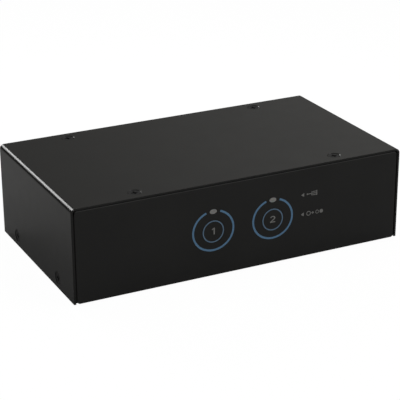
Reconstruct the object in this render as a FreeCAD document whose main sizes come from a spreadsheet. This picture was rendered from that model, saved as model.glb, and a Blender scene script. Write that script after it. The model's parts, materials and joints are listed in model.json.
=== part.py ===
import FreeCAD, Part
import math
import os
from types import SimpleNamespace

import Sketcher
from FreeCAD import Vector

# A two-port KVM switch: a low steel box with a folded chassis, a three-sided cover, a printed
# front film with two keys, and three decks of electronics behind a row of rear sockets.
# Millimetres. X runs to the right, Y to the rear, Z up. The origin is the centre of the bottom of
# the whole part's box, which reaches from the front film to the tips of the rear jackscrews, so the
# case itself stands half the jackscrews' overhang nearer the front. Z is 0 where the feet rest.

SIZES = {
    # case
    "case_width": 164,
    "case_depth": 90,
    "case_height": 44.4,
    "sheet": 1,
    "cover_bend": 2.1,
    "chassis_bend": 1.2,
    "inner_bend": 0.2,
    "ear_bend": 0.7,
    "cover_lift": 0.1,
    "cover_gap": 0.1,
    "floor_side_gap": 0.9,
    "wall_side_gap": 0.15,
    "wall_foot": 3,
    "rear_inset": 0.5,
    "top_flange": 11,
    "side_flange_height": 9,
    "side_flange_length": 72,
    # case screws, M3 with a countersunk head in a pressed dimple
    "top_screw_span_x": 100,
    "top_screw_edge": 6,
    "side_screw_span": 52,
    "side_screw_height": 5,
    "dimple_width": 6.4,
    "dimple_depth": 0.9,
    "dimple_foot": 8.4,
    "screw_clearance": 3.4,
    "thread_width": 3,
    "collar_width": 8.4,
    "collar_depth": 2.5,
    "head_width": 5.5,
    "head_sink": 0.23,
    "head_land": 0.2,
    "case_screw_length": 4,
    "thread_slack": 0.04,
    "press_slack": 0.04,
    "near_gap": 0.05,
    "recess_length": 3,
    "recess_width": 0.75,
    "recess_depth": 1.2,
    # rubber feet
    "foot_height": 1.2,
    "foot_width": 9.5,
    "foot_span_x": 140,
    "foot_span_y": 66,
    # front film and keys
    "film_thickness": 0.5,
    "film_side_gap": 0.6,
    "film_bottom": 0.1,
    "film_top_gap": 1.35,
    "film_corner": 1.2,
    "key_spacing": 30,
    "key_height": 21.4,
    "key_width": 11,
    "key_slack": 0.1,
    "key_flange_width": 13.5,
    "key_flange": 1,
    "key_stem_width": 3.2,
    "lamp_rise": 9.55,
    "lamp_length": 3.5,
    "lamp_width": 2.2,
    "lamp_guide_length": 7,
    "lamp_ledge": 0.8,
    "hub_lamp_length": 3.2,
    "hub_lamp_width": 1.6,
    "select_lamp_reach": 6,
    "select_lamp_length": 3.2,
    "select_lamp_width": 1.6,
    "select_lamp_rise": 1,
    # front board and tact switches
    "board": 1.6,
    "front_board_gap": 7.5,
    "front_board_width": 64,
    "front_board_low": 7.9,
    "front_board_high": 37,
    "front_post_span": 54,
    "front_post_height": 26,
    "tact_width": 6,
    "tact_housing": 3.2,
    "tact_cover": 0.3,
    "tact_height": 5,
    "tact_floor": 0.8,
    "tact_cavity": 4.6,
    "tact_plunger": 3.5,
    "plunger_collar": 4.3,
    "plunger_collar_length": 0.75,
    "plunger_nub": 1.6,
    "tact_pin_gap": 0.3,
    "tact_pin_width": 0.5,
    "tact_pin_height": 0.7,
    "tact_pin_length": 1.2,
    "tact_pin_span": 4.5,
    "dome_rise": 0.8,
    "dome_width": 4.4,
    "dome_thickness": 0.1,
    # boards
    "main_board_width": 149,
    "main_board_front": -34,
    "board_rear_gap": 0.6,
    "low_post": 4,
    "tall_post": 15,
    "post_flats": 5.5,
    "post_span_x": 140,
    "post_first_y": -28,
    "post_pitch_y": 24,
    "board_hole": 3.2,
    "io_board_width": 157,
    "io_board_front": -10,
    "pan_head_width": 5.5,
    "pan_head_height": 2,
    "board_screw_length": 4.6,
    "tall_thread_depth": 8,
    # pin headers between the boards
    "pin_hole": 1,
    "pin_slot": 0.7,
    "pin_tail": 1.2,
    "header_inset": 2.5,
    "header_rise": 3.2,
    "header_reach": 0.8,
    "header_strip_width": 2.4,
    "header_strip_height": 1.4,
    "link_inset": 6,
    "link_low_height": 2.5,
    "link_high_height": 8.5,
    # flat chips
    "chip_height": 1.4,
    "chip_lift": 0.1,
    "chip_corner": 0.3,
    "chip_dot": 0.9,
    "chip_dot_inset": 1.2,
    "lead_thickness": 0.15,
    "lead_shoulder": 0.5,
    "lead_reach": 1.1,
    # crystals, capacitors, coils and beeper
    "crystal_x": 22,
    "crystal_first_y": -8,
    "crystal_length": 11.2,
    "crystal_width": 4.6,
    "crystal_height": 3.6,
    "crystal_pitch": 8,
    "power_row_first_y": -22,
    "capacitor_first_x": -58,
    "capacitor_width": 6.2,
    "capacitor_neck": 5.8,
    "capacitor_height": 7.7,
    "capacitor_groove": 1.2,
    "capacitor_groove_reach": 0.3,
    "capacitor_shoulder": 0.2,
    "capacitor_pitch_x": 9,
    "power_row_pitch": 20,
    "coil_x": -36,
    "coil_width": 6.8,
    "coil_height": 4,
    "coil_corner": 1,
    "beeper_x": 48,
    "beeper_y": -20,
    "beeper_bevel": 0.5,
    "beeper_width": 12,
    "beeper_height": 9,
    "beeper_mouth": 2.2,
    "beeper_well": 2,
    # rear sockets
    "port_pitch": 48,
    "port_first_x": -42,
    "socket_proud": 1,
    "socket_gap": 0.1,
    "opening_margin": 0.6,
    "dvi_width": 26,
    "dvi_height": 10,
    "dvi_rise": 7.2,
    "dvi_bevel": 2,
    "dvi_rim": 0.5,
    "dvi_plate_width": 38,
    "dvi_plate_height": 12.6,
    "dvi_plate": 0.8,
    "dvi_depth": 13,
    "dvi_pitch": 1.905,
    "dvi_cage_wider": 1.6,
    "dvi_groove": 0.8,
    "dvi_groove_depth": 7,
    "dvi_nose_reach": 0.5,
    "dvi_pin_hole": 1,
    "dvi_pin_depth": 4,
    "dvi_blade_length": 4.6,
    "dvi_blade_width": 0.9,
    "jackscrew_span": 33.3,
    "jackscrew_flats": 5,
    "jackscrew_length": 4.8,
    "jackscrew_thread": 2.8,
    "jackscrew_stud": 4.5,
    "jackscrew_bore": 4,
    "jackscrew_clearance": 0.4,
    "usb_a_first_x": -69,
    "usb_a_pitch": 18,
    "usb_a_width": 14.5,
    "usb_a_height": 15.6,
    "usb_a_port_pitch": 8,
    "usb_a_mouth_width": 12.9,
    "usb_a_mouth_height": 5.5,
    "usb_a_depth": 16,
    "usb_a_tongue_width": 11.1,
    "usb_a_tongue": 1.9,
    "usb_a_tongue_reach": 0.2,
    "usb_a_root": 9,
    "usb_a_contact_width": 1.1,
    "usb_a_contact_length": 8.3,
    "usb_a_contact_start": 0.6,
    "usb_a_contact_span": 6.9,
    "contact_thickness": 0.2,
    "usb_b_first_x": -8,
    "usb_b_width": 12.1,
    "usb_b_height": 11,
    "usb_b_depth": 15,
    "usb_b_mouth_width": 8.6,
    "usb_b_mouth_height": 7.9,
    "usb_b_bevel": 1.7,
    "usb_b_shell": 0.4,
    "usb_b_sink": 0.2,
    "usb_b_insert_depth": 12,
    "usb_b_tongue_width": 5.6,
    "usb_b_tongue_height": 3.1,
    "usb_b_tongue_length": 9,
    "usb_b_tongue_sink": 1,
    "usb_b_contact_width": 0.9,
    "usb_b_contact_length": 7,
    "usb_b_contact_start": 1.6,
    "usb_b_contact_span": 2.5,
    "speaker_first_x": -38,
    "microphone_first_x": -27,
    "jack_width": 9.6,
    "jack_depth": 12.5,
    "jack_rise": 4.8,
    "jack_collar": 6.2,
    "jack_bore": 3.6,
    "jack_proud": 0.8,
    "power_x": -69,
    "power_width": 9,
    "power_height": 11,
    "power_rise": 6.3,
    "power_depth": 13,
    "power_nose": 8.4,
    "power_mouth": 6.4,
    "power_pin": 2.1,
    "power_proud": 0.5,
    "power_bore_depth": 10.5,
    "power_pin_root": 10,
    "power_pin_shoulder": 1,
}


class Size:
    """A length that knows its value and the sheet expression that gives it."""

    def __init__(self, value, text):
        self.value = value
        self.text = text

    def joined(self, sign, other, value):
        return Size(value, "(%s %s %s)" % (self.text, sign, other.text))

    def __add__(self, other):
        other = as_size(other)
        return self.joined("+", other, self.value + other.value)

    def __sub__(self, other):
        other = as_size(other)
        return self.joined("-", other, self.value - other.value)

    def __mul__(self, other):
        other = as_size(other)
        return self.joined("*", other, self.value * other.value)

    def __truediv__(self, other):
        other = as_size(other)
        return self.joined("/", other, self.value / other.value)

    def __neg__(self):
        return as_size(0) - self

    def __rsub__(self, other):
        return as_size(other) - self


def as_size(term):
    if isinstance(term, Size):
        return term
    return Size(term, str(term))


def make_sheet():
    """Fills the sheet and returns its cells as named sizes."""
    sheet = doc.addObject("Spreadsheet::Sheet", "Dimensions")
    for row, (name, value) in enumerate(SIZES.items(), 1):
        sheet.set("A%d" % row, name)
        sheet.set("B%d" % row, str(value))
        sheet.setAlias("B%d" % row, name)
    return SimpleNamespace(**{
        name: Size(value, "Dimensions." + name) for name, value in SIZES.items()
    })


def bind(thing, path, size):
    """Ties one property of an object to the sheet."""
    thing.setExpression(path, as_size(size).text)


def set_place(thing, x, y, z):
    """Places an object, given where it stands from the case's centre."""
    for letter, size in zip("xyz", (x, as_size(y) + case_centre, z)):
        bind(thing, "Placement.Base." + letter, size)


# ---------------------------------------------------------------- sketches

def new_body(label, x=0, y=0, z=0):
    """A sub-part's body, with its own origin at x, y, z of the case."""
    body = doc.addObject("PartDesign::Body", label)
    body.Label = label
    body.AllowCompound = True
    set_place(body, x, y, z)
    subparts.append(body)
    return body


def origin_item(body, role):
    return next(item for item in body.Origin.OriginFeatures if item.Role == role)


def new_sketch(body, plane, offset=0):
    """A sketch on an origin plane, moved by offset along that plane's normal."""
    sketch = body.newObject("Sketcher::SketchObject", "Sketch")
    sketch.AttachmentSupport = [(origin_item(body, plane), "")]
    sketch.MapMode = "FlatFace"
    bind(sketch, "AttachmentOffset.Base.z", offset)
    return sketch


def hold(sketch, kind, geometry, point, size):
    """Adds a driving distance from the sketch's origin to a point, or a radius."""
    value = as_size(size).value
    if kind == "Radius":
        index = sketch.addConstraint(Sketcher.Constraint(kind, geometry, value))
    else:
        index = sketch.addConstraint(
            Sketcher.Constraint(kind, -1, 1, geometry, point, value))
    bind(sketch, "Constraints[%d]" % index, size)


def outline(sketch, points):
    """A closed outline of straight lines through (x, y) points."""
    first = sketch.GeometryCount
    corners = [Vector(as_size(x).value, as_size(y).value, 0) for x, y in points]
    count = len(corners)
    for index in range(count):
        sketch.addGeometry(Part.LineSegment(corners[index], corners[(index + 1) % count]))
    for index in range(count):
        following = first + (index + 1) % count
        sketch.addConstraint(
            Sketcher.Constraint("Coincident", first + index, 2, following, 1))
    for index, (x, y) in enumerate(points):
        hold(sketch, "DistanceX", first + index, 1, x)
        hold(sketch, "DistanceY", first + index, 1, y)


def rectangle(sketch, x, y, width, height):
    """A rectangle centred on x, y."""
    left, right = x - width / 2, x + width / 2
    low, high = y - height / 2, y + height / 2
    outline(sketch, [(left, low), (right, low), (right, high), (left, high)])


def circle(sketch, x, y, width):
    """A circle of diameter width centred on x, y."""
    x, y, radius = as_size(x), as_size(y), as_size(width) / 2
    index = sketch.addGeometry(
        Part.Circle(Vector(x.value, y.value, 0), Vector(0, 0, 1), radius.value))
    hold(sketch, "DistanceX", index, 3, x)
    hold(sketch, "DistanceY", index, 3, y)
    hold(sketch, "Radius", index, 0, radius)


def slot(sketch, x, y, length, width):
    """A round-ended slot along the sketch's horizontal, centred on x, y."""
    radius = width / 2
    reach = length / 2 - radius
    first = sketch.GeometryCount
    centre = Vector(x.value, y.value, 0)
    right = centre + Vector(reach.value, 0, 0)
    left = centre - Vector(reach.value, 0, 0)
    up = Vector(0, radius.value, 0)
    normal = Vector(0, 0, 1)
    quarter = math.pi / 2
    right_end = Part.ArcOfCircle(Part.Circle(right, normal, radius.value), -quarter, quarter)
    left_end = Part.ArcOfCircle(Part.Circle(left, normal, radius.value), quarter, 3 * quarter)
    sketch.addGeometry(Part.LineSegment(left + up, right + up))
    sketch.addGeometry(right_end)
    sketch.addGeometry(Part.LineSegment(right - up, left - up))
    sketch.addGeometry(left_end)
    joins = ((0, 2, 1, 2), (1, 1, 2, 1), (2, 2, 3, 2), (3, 1, 0, 1))
    for line, end, arc, other_end in joins:
        sketch.addConstraint(
            Sketcher.Constraint("Tangent", first + line, end, first + arc, other_end))
    sketch.addConstraint(Sketcher.Constraint("Equal", first + 1, first + 3))
    hold(sketch, "Radius", first + 1, 0, radius)
    hold(sketch, "DistanceX", first + 1, 3, x + reach)
    hold(sketch, "DistanceY", first + 1, 3, y)
    hold(sketch, "DistanceX", first + 3, 3, x - reach)
    hold(sketch, "DistanceY", first + 3, 3, y)


def oval(sketch, x, y, length, width):
    """An ellipse, long along the sketch's horizontal, centred on x, y."""
    ellipse = sketch.GeometryCount
    centre = Vector(x.value, y.value, 0)
    long_end = centre + Vector(length.value / 2, 0, 0)
    short_end = centre + Vector(0, width.value / 2, 0)
    sketch.addGeometry(Part.Ellipse(long_end, short_end, centre))
    sketch.exposeInternalGeometry(ellipse)
    long_axis, short_axis = ellipse + 1, ellipse + 2
    sketch.addConstraint(Sketcher.Constraint("Horizontal", long_axis))
    hold(sketch, "DistanceX", ellipse, 3, x)
    hold(sketch, "DistanceY", ellipse, 3, y)
    hold(sketch, "DistanceX", long_axis, 1, x + length / 2)
    hold(sketch, "DistanceY", short_axis, 1, y + width / 2)


def hexagon(sketch, flats):
    """A hexagon across flats, centred on the sketch's origin, two flats level."""
    reach = flats / math.sqrt(3)
    high = flats / 2
    outline(sketch, [(reach, 0), (reach / 2, high), (-reach / 2, high),
                     (-reach, 0), (-reach / 2, -high), (reach / 2, -high)])


def bevelled(sketch, width, height, bevel, side):
    """A rectangle about the origin whose two corners on one side, -1 low or 1 high, are cut."""
    wide, high = width / 2, height / 2 * side
    step = bevel * side
    outline(sketch, [(-wide, -high), (wide, -high), (wide, high - step),
                     (wide - bevel, high), (bevel - wide, high), (-wide, high - step)])


# ---------------------------------------------------------------- features

def pad(body, sketch, length, reverse=False, symmetric=False, taper=0):
    """Adds the sketch's outline, swept along the plane's normal."""
    feature = body.newObject("PartDesign::Pad", "Pad")
    feature.Profile = sketch
    feature.Reversed = reverse
    feature.SideType = "Symmetric" if symmetric else "One side"
    feature.TaperAngle = taper
    bind(feature, "Length", length)
    body.Tip = feature
    return feature


def pocket(body, sketch, depth, reverse=False):
    """Cuts the sketch's outline away, against the plane's normal, and checks that it cut."""
    doc.recompute()
    before = body.Shape.Volume
    feature = body.newObject("PartDesign::Pocket", "Pocket")
    feature.Profile = sketch
    feature.Reversed = reverse
    bind(feature, "Length", depth)
    body.Tip = feature
    doc.recompute()
    if not body.Shape.Volume < before:
        raise RuntimeError("a pocket in %s cuts nothing" % body.Label)
    return feature


def turn(body, axis, corners):
    """A turned solid about the body's own X, Y or Z axis, from (along, diameter) corners."""
    plane, line = {
        "X": ("XY_Plane", "H_Axis"),
        "Y": ("YZ_Plane", "H_Axis"),
        "Z": ("XZ_Plane", "V_Axis"),
    }[axis]
    sketch = new_sketch(body, plane)
    rim = [(as_size(along), as_size(width) / 2) for along, width in corners]
    points = [(rim[0][0], as_size(0))] + rim + [(rim[-1][0], as_size(0))]
    if axis == "Z":
        points = [(radius, along) for along, radius in points]
    outline(sketch, points)
    feature = body.newObject("PartDesign::Revolution", "Revolution")
    feature.Profile = sketch
    feature.ReferenceAxis = (sketch, [line])
    feature.Angle = 360
    body.Tip = feature
    return feature


def repeat(body, axis, span, count, axis2=None, span2=None, count2=1):
    """Copies the whole body along an axis, or two, over the distance from first to last."""
    doc.recompute()
    feature = body.newObject("PartDesign::LinearPattern", "LinearPattern")
    feature.TransformMode = "Whole shape"
    feature.Direction = (origin_item(body, axis + "_Axis"), [""])
    bind(feature, "Length", span)
    feature.Occurrences = count
    if axis2:
        feature.Direction2 = (origin_item(body, axis2 + "_Axis"), [""])
        bind(feature, "Length2", span2)
        feature.Occurrences2 = count2
    body.Tip = feature
    doc.recompute()
    return feature


def mirror(body, plane, features=None):
    """Mirrors some features, or the whole body, across one of its origin planes."""
    doc.recompute()
    feature = body.newObject("PartDesign::Mirrored", "Mirrored")
    if features:
        feature.Originals = features
    else:
        feature.TransformMode = "Whole shape"
    feature.MirrorPlane = (origin_item(body, plane), [""])
    body.Tip = feature
    doc.recompute()
    return feature


def edges_at(feature, direction, *places):
    """Names of straight edges along an axis whose ends both lie at one of the places.

    A place gives the two other coordinates of the edge, in X, Y, Z order."""
    along = "XYZ".index(direction)
    names = []
    for index, edge in enumerate(feature.Shape.Edges, 1):
        ends = [[v.X, v.Y, v.Z] for v in edge.Vertexes]
        for end in ends:
            end.pop(along)
        for place in places:
            wanted = [as_size(size).value for size in place]
            if all(math.dist(end, wanted) < 0.001 for end in ends):
                names.append("Edge%d" % index)
    if not names:
        raise RuntimeError("no edge found for a fillet")
    return names


def fillet(body, feature, edge_names, radius):
    rounded = body.newObject("PartDesign::Fillet", "Fillet")
    rounded.Base = (feature, edge_names)
    bind(rounded, "Radius", radius)
    body.Tip = rounded
    doc.recompute()
    return rounded


def block(x, y, z, width, depth, height, label=None):
    """A box centred on x and y that stands on z. With a label it is a sub-part."""
    box = doc.addObject("Part::Box", label or "Block")
    width, depth = as_size(width), as_size(depth)
    bind(box, "Length", width)
    bind(box, "Width", depth)
    bind(box, "Height", height)
    set_place(box, as_size(x) - width / 2, as_size(y) - depth / 2, z)
    if label:
        box.Label = label
        subparts.append(box)
    return box


def fuse(shapes):
    joined = doc.addObject("Part::MultiFuse", "Fuse")
    joined.Shapes = shapes
    return joined


def cut(base, tool):
    left = doc.addObject("Part::Cut", "Cut")
    left.Base = base
    left.Tool = tool
    return left


def group(label, shapes):
    """A sub-part made of separate solids, or of one built from primitives."""
    bundle = doc.addObject("Part::Compound", label)
    bundle.Links = shapes
    bundle.Label = label
    subparts.append(bundle)
    return bundle


# ---------------------------------------------------------------- case

def add_collars(body, sketch, direction_reversed, hole_sketch):
    """Extruded and tapped collars behind the sheet, each with a cone for the cover's dimple."""
    collar = pad(body, sketch, d.collar_depth, reverse=direction_reversed)
    doc.recompute()
    tapped = body.newObject("PartDesign::Hole", "Hole")
    tapped.Profile = hole_sketch
    doc.recompute()
    tapped.DepthType = "Dimension"
    bind(tapped, "Depth", d.sheet + d.collar_depth + 1)
    bind(tapped, "Diameter", d.thread_width)
    tapped.HoleCutType = "Countersink"
    bind(tapped, "HoleCutDiameter", d.dimple_foot + d.cover_gap * 2)
    tapped.HoleCutCountersinkAngle = 90
    tapped.DrillPoint = "Flat"
    body.Tip = tapped
    doc.recompute()
    return [collar, tapped]


def top_screw_circles(sketch, width):
    for side in (-1, 1):
        for end in (-1, 1):
            circle(sketch, d.top_screw_span_x / 2 * side,
                   (d.case_depth / 2 - d.top_screw_edge) * end, width)


def side_screw_circles(sketch, width):
    for end in (-1, 1):
        circle(sketch, d.side_screw_span / 2 * end, base + d.side_screw_height, width)


def make_chassis():
    """Floor, front wall, rear wall and the flanges that the cover screws to, folded from sheet.

    The two walls and the floor's ends fill the cover's width; the rest of the floor is narrower."""
    body = new_body("chassis")
    sheet, front_lip, rear_lip = d.sheet, wall_front + d.top_flange, wall_rear - d.top_flange
    profile = new_sketch(body, "YZ_Plane")
    outline(profile, [
        (front_lip, flange_top), (wall_front, flange_top), (wall_front, base), (wall_rear, base),
        (wall_rear, flange_top), (rear_lip, flange_top), (rear_lip, flange_top - sheet),
        (wall_rear - sheet, flange_top - sheet), (wall_rear - sheet, base + sheet),
        (wall_front + sheet, base + sheet), (wall_front + sheet, flange_top - sheet),
        (front_lip, flange_top - sheet),
    ])
    pad(body, profile, inner_width - d.floor_side_gap * 2, symmetric=True)
    inside_front, inside_rear = wall_front + sheet, wall_rear - sheet
    floor, ceiling = base + sheet, flange_top - sheet
    walls = new_sketch(body, "YZ_Plane")
    wall_high = flange_top - d.cover_bend
    for wall, inside, foot in ((wall_front, inside_front, wall_front + d.wall_foot),
                               (wall_rear, inside_rear, wall_rear - d.wall_foot)):
        outline(walls, [(wall, wall_high), (wall, base), (foot, base), (foot, floor),
                        (inside, floor), (inside, wall_high)])
    strip = pad(body, walls, inner_width - d.wall_side_gap * 2, symmetric=True)
    doc.recompute()
    outer = edges_at(strip, "X", (wall_front, base), (wall_rear, base),
                     (wall_front, flange_top), (wall_rear, flange_top))
    bent = fillet(body, strip, outer, d.chassis_bend)
    inner = edges_at(bent, "X", (inside_front, floor), (inside_rear, floor),
                     (inside_front, ceiling), (inside_rear, ceiling))
    fillet(body, bent, inner, d.inner_bend)
    ears = new_sketch(body, "XZ_Plane")
    face, high = flange_face, base + d.side_flange_height
    outline(ears, [
        (-face, high), (-face, base), (face, base), (face, high), (face - sheet, high),
        (face - sheet, base + sheet), (sheet - face, base + sheet), (sheet - face, high),
    ])
    folded = pad(body, ears, d.side_flange_length, symmetric=True)
    doc.recompute()
    fillet(body, folded, edges_at(folded, "Y", (-face, base), (face, base)), d.ear_bend)

    top_collars = new_sketch(body, "XY_Plane", flange_top - sheet)
    top_screw_circles(top_collars, d.collar_width)
    top_holes = new_sketch(body, "XY_Plane", flange_top)
    top_screw_circles(top_holes, d.thread_width)
    add_collars(body, top_collars, True, top_holes)
    side_collars = new_sketch(body, "YZ_Plane", face - sheet)
    side_screw_circles(side_collars, d.collar_width)
    side_holes = new_sketch(body, "YZ_Plane", face)
    side_screw_circles(side_holes, d.thread_width)
    mirror(body, "YZ_Plane", add_collars(body, side_collars, True, side_holes))

    front_cut = new_sketch(body, "XZ_Plane", -wall_front)
    key_and_lamp_holes(front_cut)
    for side in (-1, 1):
        circle(front_cut, d.front_post_span / 2 * side, base + d.front_post_height, d.post_flats)
    pocket(body, front_cut, sheet * CUT_THROUGH)
    floor_cut = new_sketch(body, "XY_Plane", base + sheet)
    for side in (-1, 1):
        for row in range(3):
            circle(floor_cut, d.post_span_x / 2 * side, d.post_first_y + d.post_pitch_y * row,
                   d.post_flats)
    pocket(body, floor_cut, sheet * CUT_THROUGH)
    rear_openings(body)


def key_and_lamp_holes(sketch):
    """The two round key holes and the two oval lamp holes, as cut in the film and the front wall."""
    for side in (-1, 1):
        x = d.key_spacing / 2 * side
        circle(sketch, x, key_z, d.key_width + d.key_slack * 2)
        oval(sketch, x, key_z + d.lamp_rise, d.lamp_length + d.key_slack * 2,
             d.lamp_width + d.key_slack * 2)


def rear_openings(body):
    """Openings of the rear wall: one per socket, a little larger than the socket's own outline."""
    margin = d.opening_margin
    for index in range(3):
        shift = d.port_pitch * index
        wall = new_sketch(body, "XZ_Plane", -wall_rear)
        x = d.port_first_x + shift
        left, right = x - (d.dvi_width + margin) / 2, x + (d.dvi_width + margin) / 2
        low, high = dvi_z - (d.dvi_height + margin) / 2, dvi_z + (d.dvi_height + margin) / 2
        outline(wall, [
            (left, high), (right, high), (right, low + d.dvi_bevel),
            (right - d.dvi_bevel, low), (left + d.dvi_bevel, low), (left, low + d.dvi_bevel),
        ])
        for side in (-1, 1):
            circle(wall, x + d.jackscrew_span / 2 * side, dvi_z,
                   d.jackscrew_thread + d.jackscrew_clearance)
        circle(wall, d.speaker_first_x + shift, jack_z, d.jack_collar + margin / 2)
        circle(wall, d.microphone_first_x + shift, jack_z, d.jack_collar + margin / 2)
        pocket(body, wall, d.sheet * CUT_THROUGH, reverse=True)
    wall = new_sketch(body, "XZ_Plane", -wall_rear)
    for index in range(2):
        rectangle(wall, d.usb_a_first_x + d.usb_a_pitch * index, usb_a_z,
                  d.usb_a_width + margin, d.usb_a_height + margin)
        rectangle(wall, d.usb_b_first_x + d.port_pitch * index, usb_b_z,
                  d.usb_b_width + margin, d.usb_b_height + margin)
    circle(wall, d.power_x, power_z, d.power_nose + margin)
    pocket(body, wall, d.sheet * CUT_THROUGH, reverse=True)


def dimpled_holes(body, foot_sketch, hole_sketch):
    """Pressed dimples: a cone of sheet pushed inwards, countersunk and drilled for an M3 screw."""
    cone = pad(body, foot_sketch, d.dimple_depth, reverse=True, taper=-45)
    doc.recompute()
    drilled = body.newObject("PartDesign::Hole", "Hole")
    drilled.Profile = hole_sketch
    doc.recompute()
    drilled.DepthType = "Dimension"
    bind(drilled, "Depth", d.sheet + d.dimple_depth + 1)
    bind(drilled, "Diameter", d.screw_clearance)
    drilled.HoleCutType = "Countersink"
    bind(drilled, "HoleCutDiameter", d.dimple_width)
    drilled.HoleCutCountersinkAngle = 90
    drilled.DrillPoint = "Flat"
    body.Tip = drilled
    doc.recompute()
    return [cone, drilled]


def make_top_cover():
    """Top and both sides, folded from one sheet; its cut edges frame the front and rear walls."""
    body = new_body("top_cover")
    half, sheet, low = d.case_width / 2, d.sheet, base + d.cover_lift
    profile = new_sketch(body, "XZ_Plane")
    outline(profile, [
        (-half, low), (-half, top), (half, top), (half, low), (half - sheet, low),
        (half - sheet, top - sheet), (sheet - half, top - sheet), (sheet - half, low),
    ])
    folded = pad(body, profile, d.case_depth, symmetric=True)
    doc.recompute()
    outer = edges_at(folded, "Y", (-half, top), (half, top))
    bent = fillet(body, folded, outer, d.cover_bend)
    inner = edges_at(bent, "Y", (sheet - half, top - sheet), (half - sheet, top - sheet))
    fillet(body, bent, inner, d.cover_bend - sheet)

    top_feet = new_sketch(body, "XY_Plane", top - sheet)
    top_screw_circles(top_feet, d.dimple_foot)
    top_holes = new_sketch(body, "XY_Plane", top)
    top_screw_circles(top_holes, d.screw_clearance)
    dimpled_holes(body, top_feet, top_holes)
    side_feet = new_sketch(body, "YZ_Plane", half - sheet)
    side_screw_circles(side_feet, d.dimple_foot)
    side_holes = new_sketch(body, "YZ_Plane", half)
    side_screw_circles(side_holes, d.screw_clearance)
    mirror(body, "YZ_Plane", dimpled_holes(body, side_feet, side_holes))


def cross_recess(body, plane, offset, reverse=False):
    """A cross-shaped driver recess, cut as two crossing grooves."""
    for tall in (False, True):
        groove = new_sketch(body, plane, offset)
        long, narrow = d.recess_length, d.recess_width
        width, height = (narrow, long) if tall else (long, narrow)
        rectangle(groove, as_size(0), as_size(0), width, height)
        pocket(body, groove, d.recess_depth, reverse=reverse)


def countersunk_corners(face):
    """Corners of a countersunk screw whose head top lies at face, running towards minus."""
    head, thread = d.head_width, d.thread_width - d.thread_slack
    cone_start = face - d.head_land
    return [(face, head), (cone_start, head), (cone_start - (head - thread) / 2, thread),
            (face - d.case_screw_length, thread)]


def make_case_screws():
    """Four countersunk screws in the top and two in each side."""
    body = new_body("top_screws", -d.top_screw_span_x / 2, d.top_screw_edge - d.case_depth / 2,
                    top - d.head_sink)
    turn(body, "Z", countersunk_corners(as_size(0)))
    cross_recess(body, "XY_Plane", 0)
    repeat(body, "X", d.top_screw_span_x, 2, "Y", d.case_depth - d.top_screw_edge * 2, 2)

    body = new_body("side_screws", 0, -d.side_screw_span / 2, base + d.side_screw_height)
    face = d.case_width / 2 - d.head_sink
    turn(body, "X", countersunk_corners(face))
    cross_recess(body, "YZ_Plane", face)
    repeat(body, "Y", d.side_screw_span, 2)
    mirror(body, "YZ_Plane")


def make_rubber_feet():
    """Four stick-on feet with a rounded lower rim."""
    body = new_body("rubber_feet", -d.foot_span_x / 2, -d.foot_span_y / 2, 0)
    disc = new_sketch(body, "XY_Plane")
    circle(disc, 0, 0, d.foot_width)
    foot = pad(body, disc, d.foot_height)
    doc.recompute()
    rims = ["Edge%d" % index for index, edge in enumerate(foot.Shape.Edges, 1)
            if edge.BoundBox.ZMax < 0.001]
    fillet(body, foot, rims, d.foot_height / 4)
    repeat(body, "X", d.foot_span_x, 2, "Y", d.foot_span_y, 2)


# ---------------------------------------------------------------- front film, keys and lamps

def make_front_film():
    """A stiff printed film over the front wall, flush with the cover's cut edges."""
    body = new_body("front_overlay")
    film = new_sketch(body, "XZ_Plane", -wall_front)
    low, high = base + d.film_bottom, top - d.film_top_gap
    width = d.case_width - (d.sheet + d.film_side_gap) * 2
    rectangle(film, as_size(0), (low + high) / 2, width, high - low)
    plate = pad(body, film, d.film_thickness)
    doc.recompute()
    half = width / 2
    corners = edges_at(plate, "Y", (-half, low), (half, low), (-half, high), (half, high))
    fillet(body, plate, corners, d.film_corner)
    holes = new_sketch(body, "XZ_Plane", -front)
    key_and_lamp_holes(holes)
    pocket(body, holes, d.film_thickness * CUT_THROUGH)


def make_key(number, side):
    """A key cap, flush with the film, its retaining flange behind the wall and its stem."""
    body = new_body("key_cap_%d" % number, d.key_spacing / 2 * side, front, key_z)
    behind_wall = d.film_thickness + d.sheet + d.near_gap
    flange_end = behind_wall + d.key_flange
    stem_end = tact_tip_y - front - REST_GAP
    turn(body, "Y", [
        (0, d.key_width), (behind_wall, d.key_width), (behind_wall, d.key_flange_width),
        (flange_end, d.key_flange_width), (flange_end, d.key_stem_width),
        (stem_end, d.key_stem_width),
    ])


def make_plunger(number, side):
    """A tact switch's plunger: tip, inner collar and the nub that rests on the snap dome."""
    body = new_body("tact_plunger_%d" % number, d.key_spacing / 2 * side, tact_tip_y, key_z)
    collar = d.tact_height - d.tact_housing + d.near_gap
    nub = collar + d.plunger_collar_length
    nub_end = d.tact_height - d.tact_floor - d.dome_rise - REST_GAP
    turn(body, "Y", [
        (0, d.tact_plunger), (collar, d.tact_plunger), (collar, d.plunger_collar),
        (nub, d.plunger_collar), (nub, d.plunger_nub), (nub_end, d.plunger_nub),
    ])


def make_snap_dome(number, side):
    """A thin sprung disc in the bottom of a tact switch, bulging towards the plunger."""
    rise, half = d.dome_rise.value, d.dome_width.value / 2
    thickness = d.dome_thickness.value
    radius = (rise ** 2 + half ** 2) / (2 * rise)
    floor = (front_board_y - d.tact_floor).value
    centre = Vector(0, floor - rise + radius, 0)
    keep = Part.makeCylinder(half, rise, Vector(0, floor, 0), Vector(0, -1, 0))
    dome = Part.makeSphere(radius, centre).cut(Part.makeSphere(radius - thickness, centre))
    feature = doc.addObject("Part::Feature", "snap_dome_%d" % number)
    feature.Shape = dome.common(keep)
    feature.Label = "snap_dome_%d" % number
    set_place(feature, d.key_spacing / 2 * side, 0, key_z)
    subparts.append(feature)


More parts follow.
